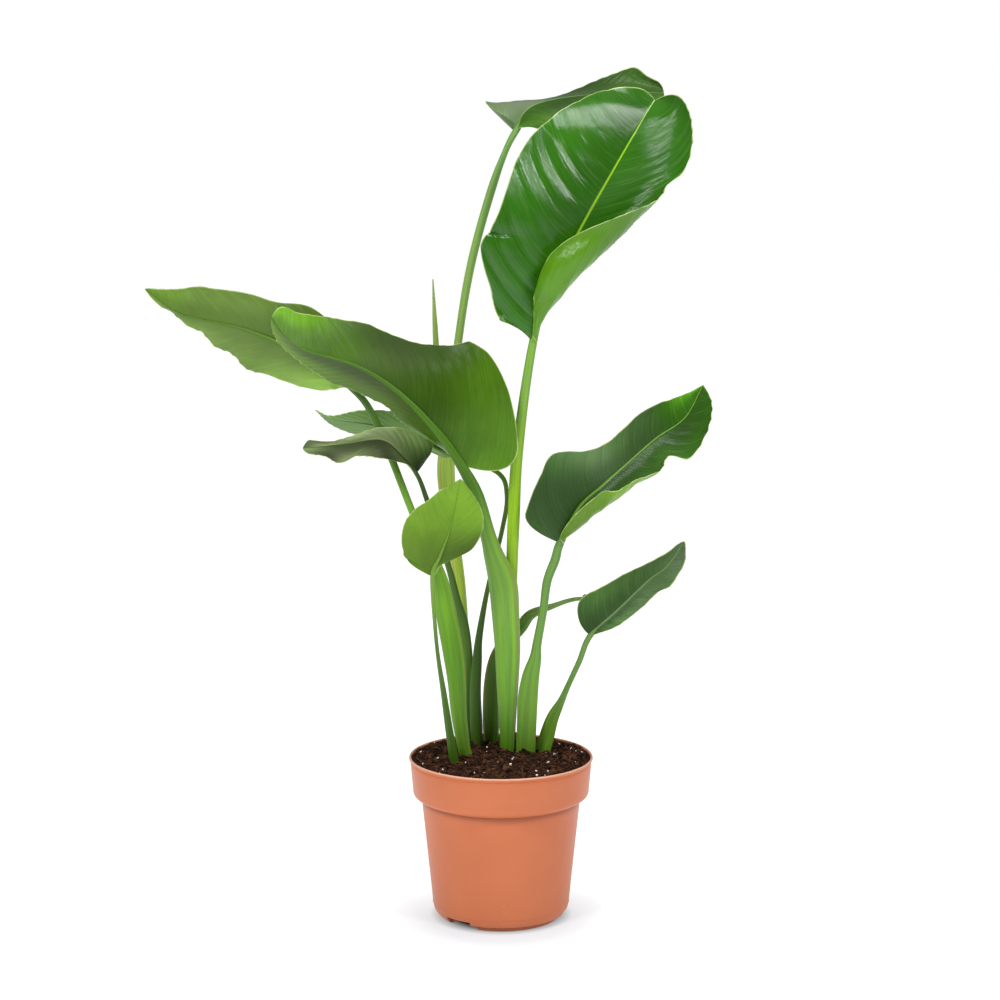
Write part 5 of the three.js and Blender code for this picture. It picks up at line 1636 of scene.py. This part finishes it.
LOOKS["pale_behind"] = look(
    (84, 128, 44), (90, 132, 44), (110, 140, 70), 0.8, 0.38,
    half_look(12, 0.8, 0.8, [1.1, 1.4, 1, 1, 1.2], [1.1, 1.1, 1, 1.1, 1.3]),
    half_look(12, 0.8, 0.8, [1.2, 1.1, 1, 1], [1.2, 1.2, 1, 1]))
print("looks:", len(LOOKS))

# %% Make the blades
# Slot of the finish, and rows and columns of points. Each blade draws its lumps from its own seed.
BLADES = {
    "top_back": ("blade_light", 250, 38),
    "tall_front": ("blade_dark", 260, 42),
    "broad_left": ("blade_light", 260, 40),
    "far_left": ("blade_light", 220, 32),
    "small_left": ("blade_dark", 170, 28),
    "round_front": ("blade_light", 160, 28),
    "pale_behind": ("blade_light", 190, 30),
    "upper_right": ("blade_dark", 250, 38),
    "lower_right": ("blade_dark", 220, 36),
    "arched_back": ("blade_light", 120, 22),
}
FIRST_SEED = 21
for seed, (name, (slot, rows, columns)) in enumerate(BLADES.items(), FIRST_SEED):
    points, faces, uv, numbers = blade_surface(LEAVES[name], LOOKS[name], rows, columns, seed)
    skin = leaf_skin(name + "_skin", LOOKS[name])
    piece = new_piece(name + "_leaf", points, faces, skin, uv, numbers, sharp=60)
    place_piece(piece, slot, name + "_blade")

# %% [markdown]
# ## The new leaf
#
# The youngest leaf comes up rolled like a paper cone, with the free edge winding slowly round it. Its
# section is a circle that shrinks steadily by an eighth in one turn and steps back at the edge, and the
# place of that step turns as the cone rises. A real roll of many layers would show no more than this.
# It is paler than the open leaves, greener along its free edge, with fine threads that run up it.

# %% Rolled leaf
ROLL_STEP, ROLL_TWIST, ROLL_STATIONS, ROLL_SIDES = 0.14, 1.1, 90, 48
ROLL_WIDEST = 1.05


def rolled_leaf():
    """Points line(s) + (right w/2 cos a + up d/2 sin a) (widest - step (part of a turn since the free
    edge)). Gives the points, that part and the distance along in metres, for each point."""
    line, length = evenly(SPEAR, 0, ROLL_STATIONS)
    forward = unit(np.gradient(line[:, :3], axis=0))
    up = squared(SPEAR_OPEN, forward)
    right = np.cross(forward, up)
    gone = np.linspace(0, 1, ROLL_STATIONS)[:, None]
    angle = circle(ROLL_SIDES)[None, :] + gone * ROLL_TWIST
    part = np.linspace(0, 1, ROLL_SIDES, endpoint=False)[None, :]
    size = ROLL_WIDEST - ROLL_STEP * part
    points = (line[:, None, :3] + right[:, None] * (line[:, 3:4] / 2 * np.cos(angle) * size)[..., None]
              + up[:, None] * (line[:, 4:5] / 2 * np.sin(angle) * size)[..., None])
    return points, np.broadcast_to(part, angle.shape), np.broadcast_to(gone * length * MM, angle.shape)


roll_points, roll_part, roll_gone = rolled_leaf()
print("rolled leaf:", roll_points.shape[0], "rings of", roll_points.shape[1], "points")

# %% New leaf's finish
ROLL_PALE, ROLL_GREEN, ROLL_THREADS = rgb(176, 204, 104), rgb(112, 150, 58), rgb(150, 180, 96)
THREAD_SHARE = 0.5


def rolled_skin():
    """Pale yellow-green, greener along the free edge, with fine lengthwise threads."""
    material, shader = new_material("new_leaf_skin", 0.4, 0.4)
    part, gone = named(shader, "part", "gone")
    threads = noise(shader, stretched(shader, (26, part), (30, gone)), 1, 3, 0.6, "2D")
    from_middle = maths(shader, "ABSOLUTE", maths(shader, "SUBTRACT", part, 0.5))
    colour = mix(shader, step_up(shader, from_middle, 0.34, 0.48), ROLL_PALE, ROLL_GREEN)
    put(shader, "Base Color", over(shader, colour, threads, THREAD_SHARE, ROLL_THREADS, "MULTIPLY"))
    bump(shader, threads, 0.0003)
    return material


roll_mesh, roll_faces = closed_tube(roll_points)
roll_numbers = {"part": np.append(roll_part, [0, 0]), "gone": np.append(roll_gone, [0, 0])}
roll = new_piece("new_leaf_roll", roll_mesh, roll_faces, rolled_skin(), numbers=roll_numbers, sharp=50)
place_piece(roll, "new_leaf", "spear")
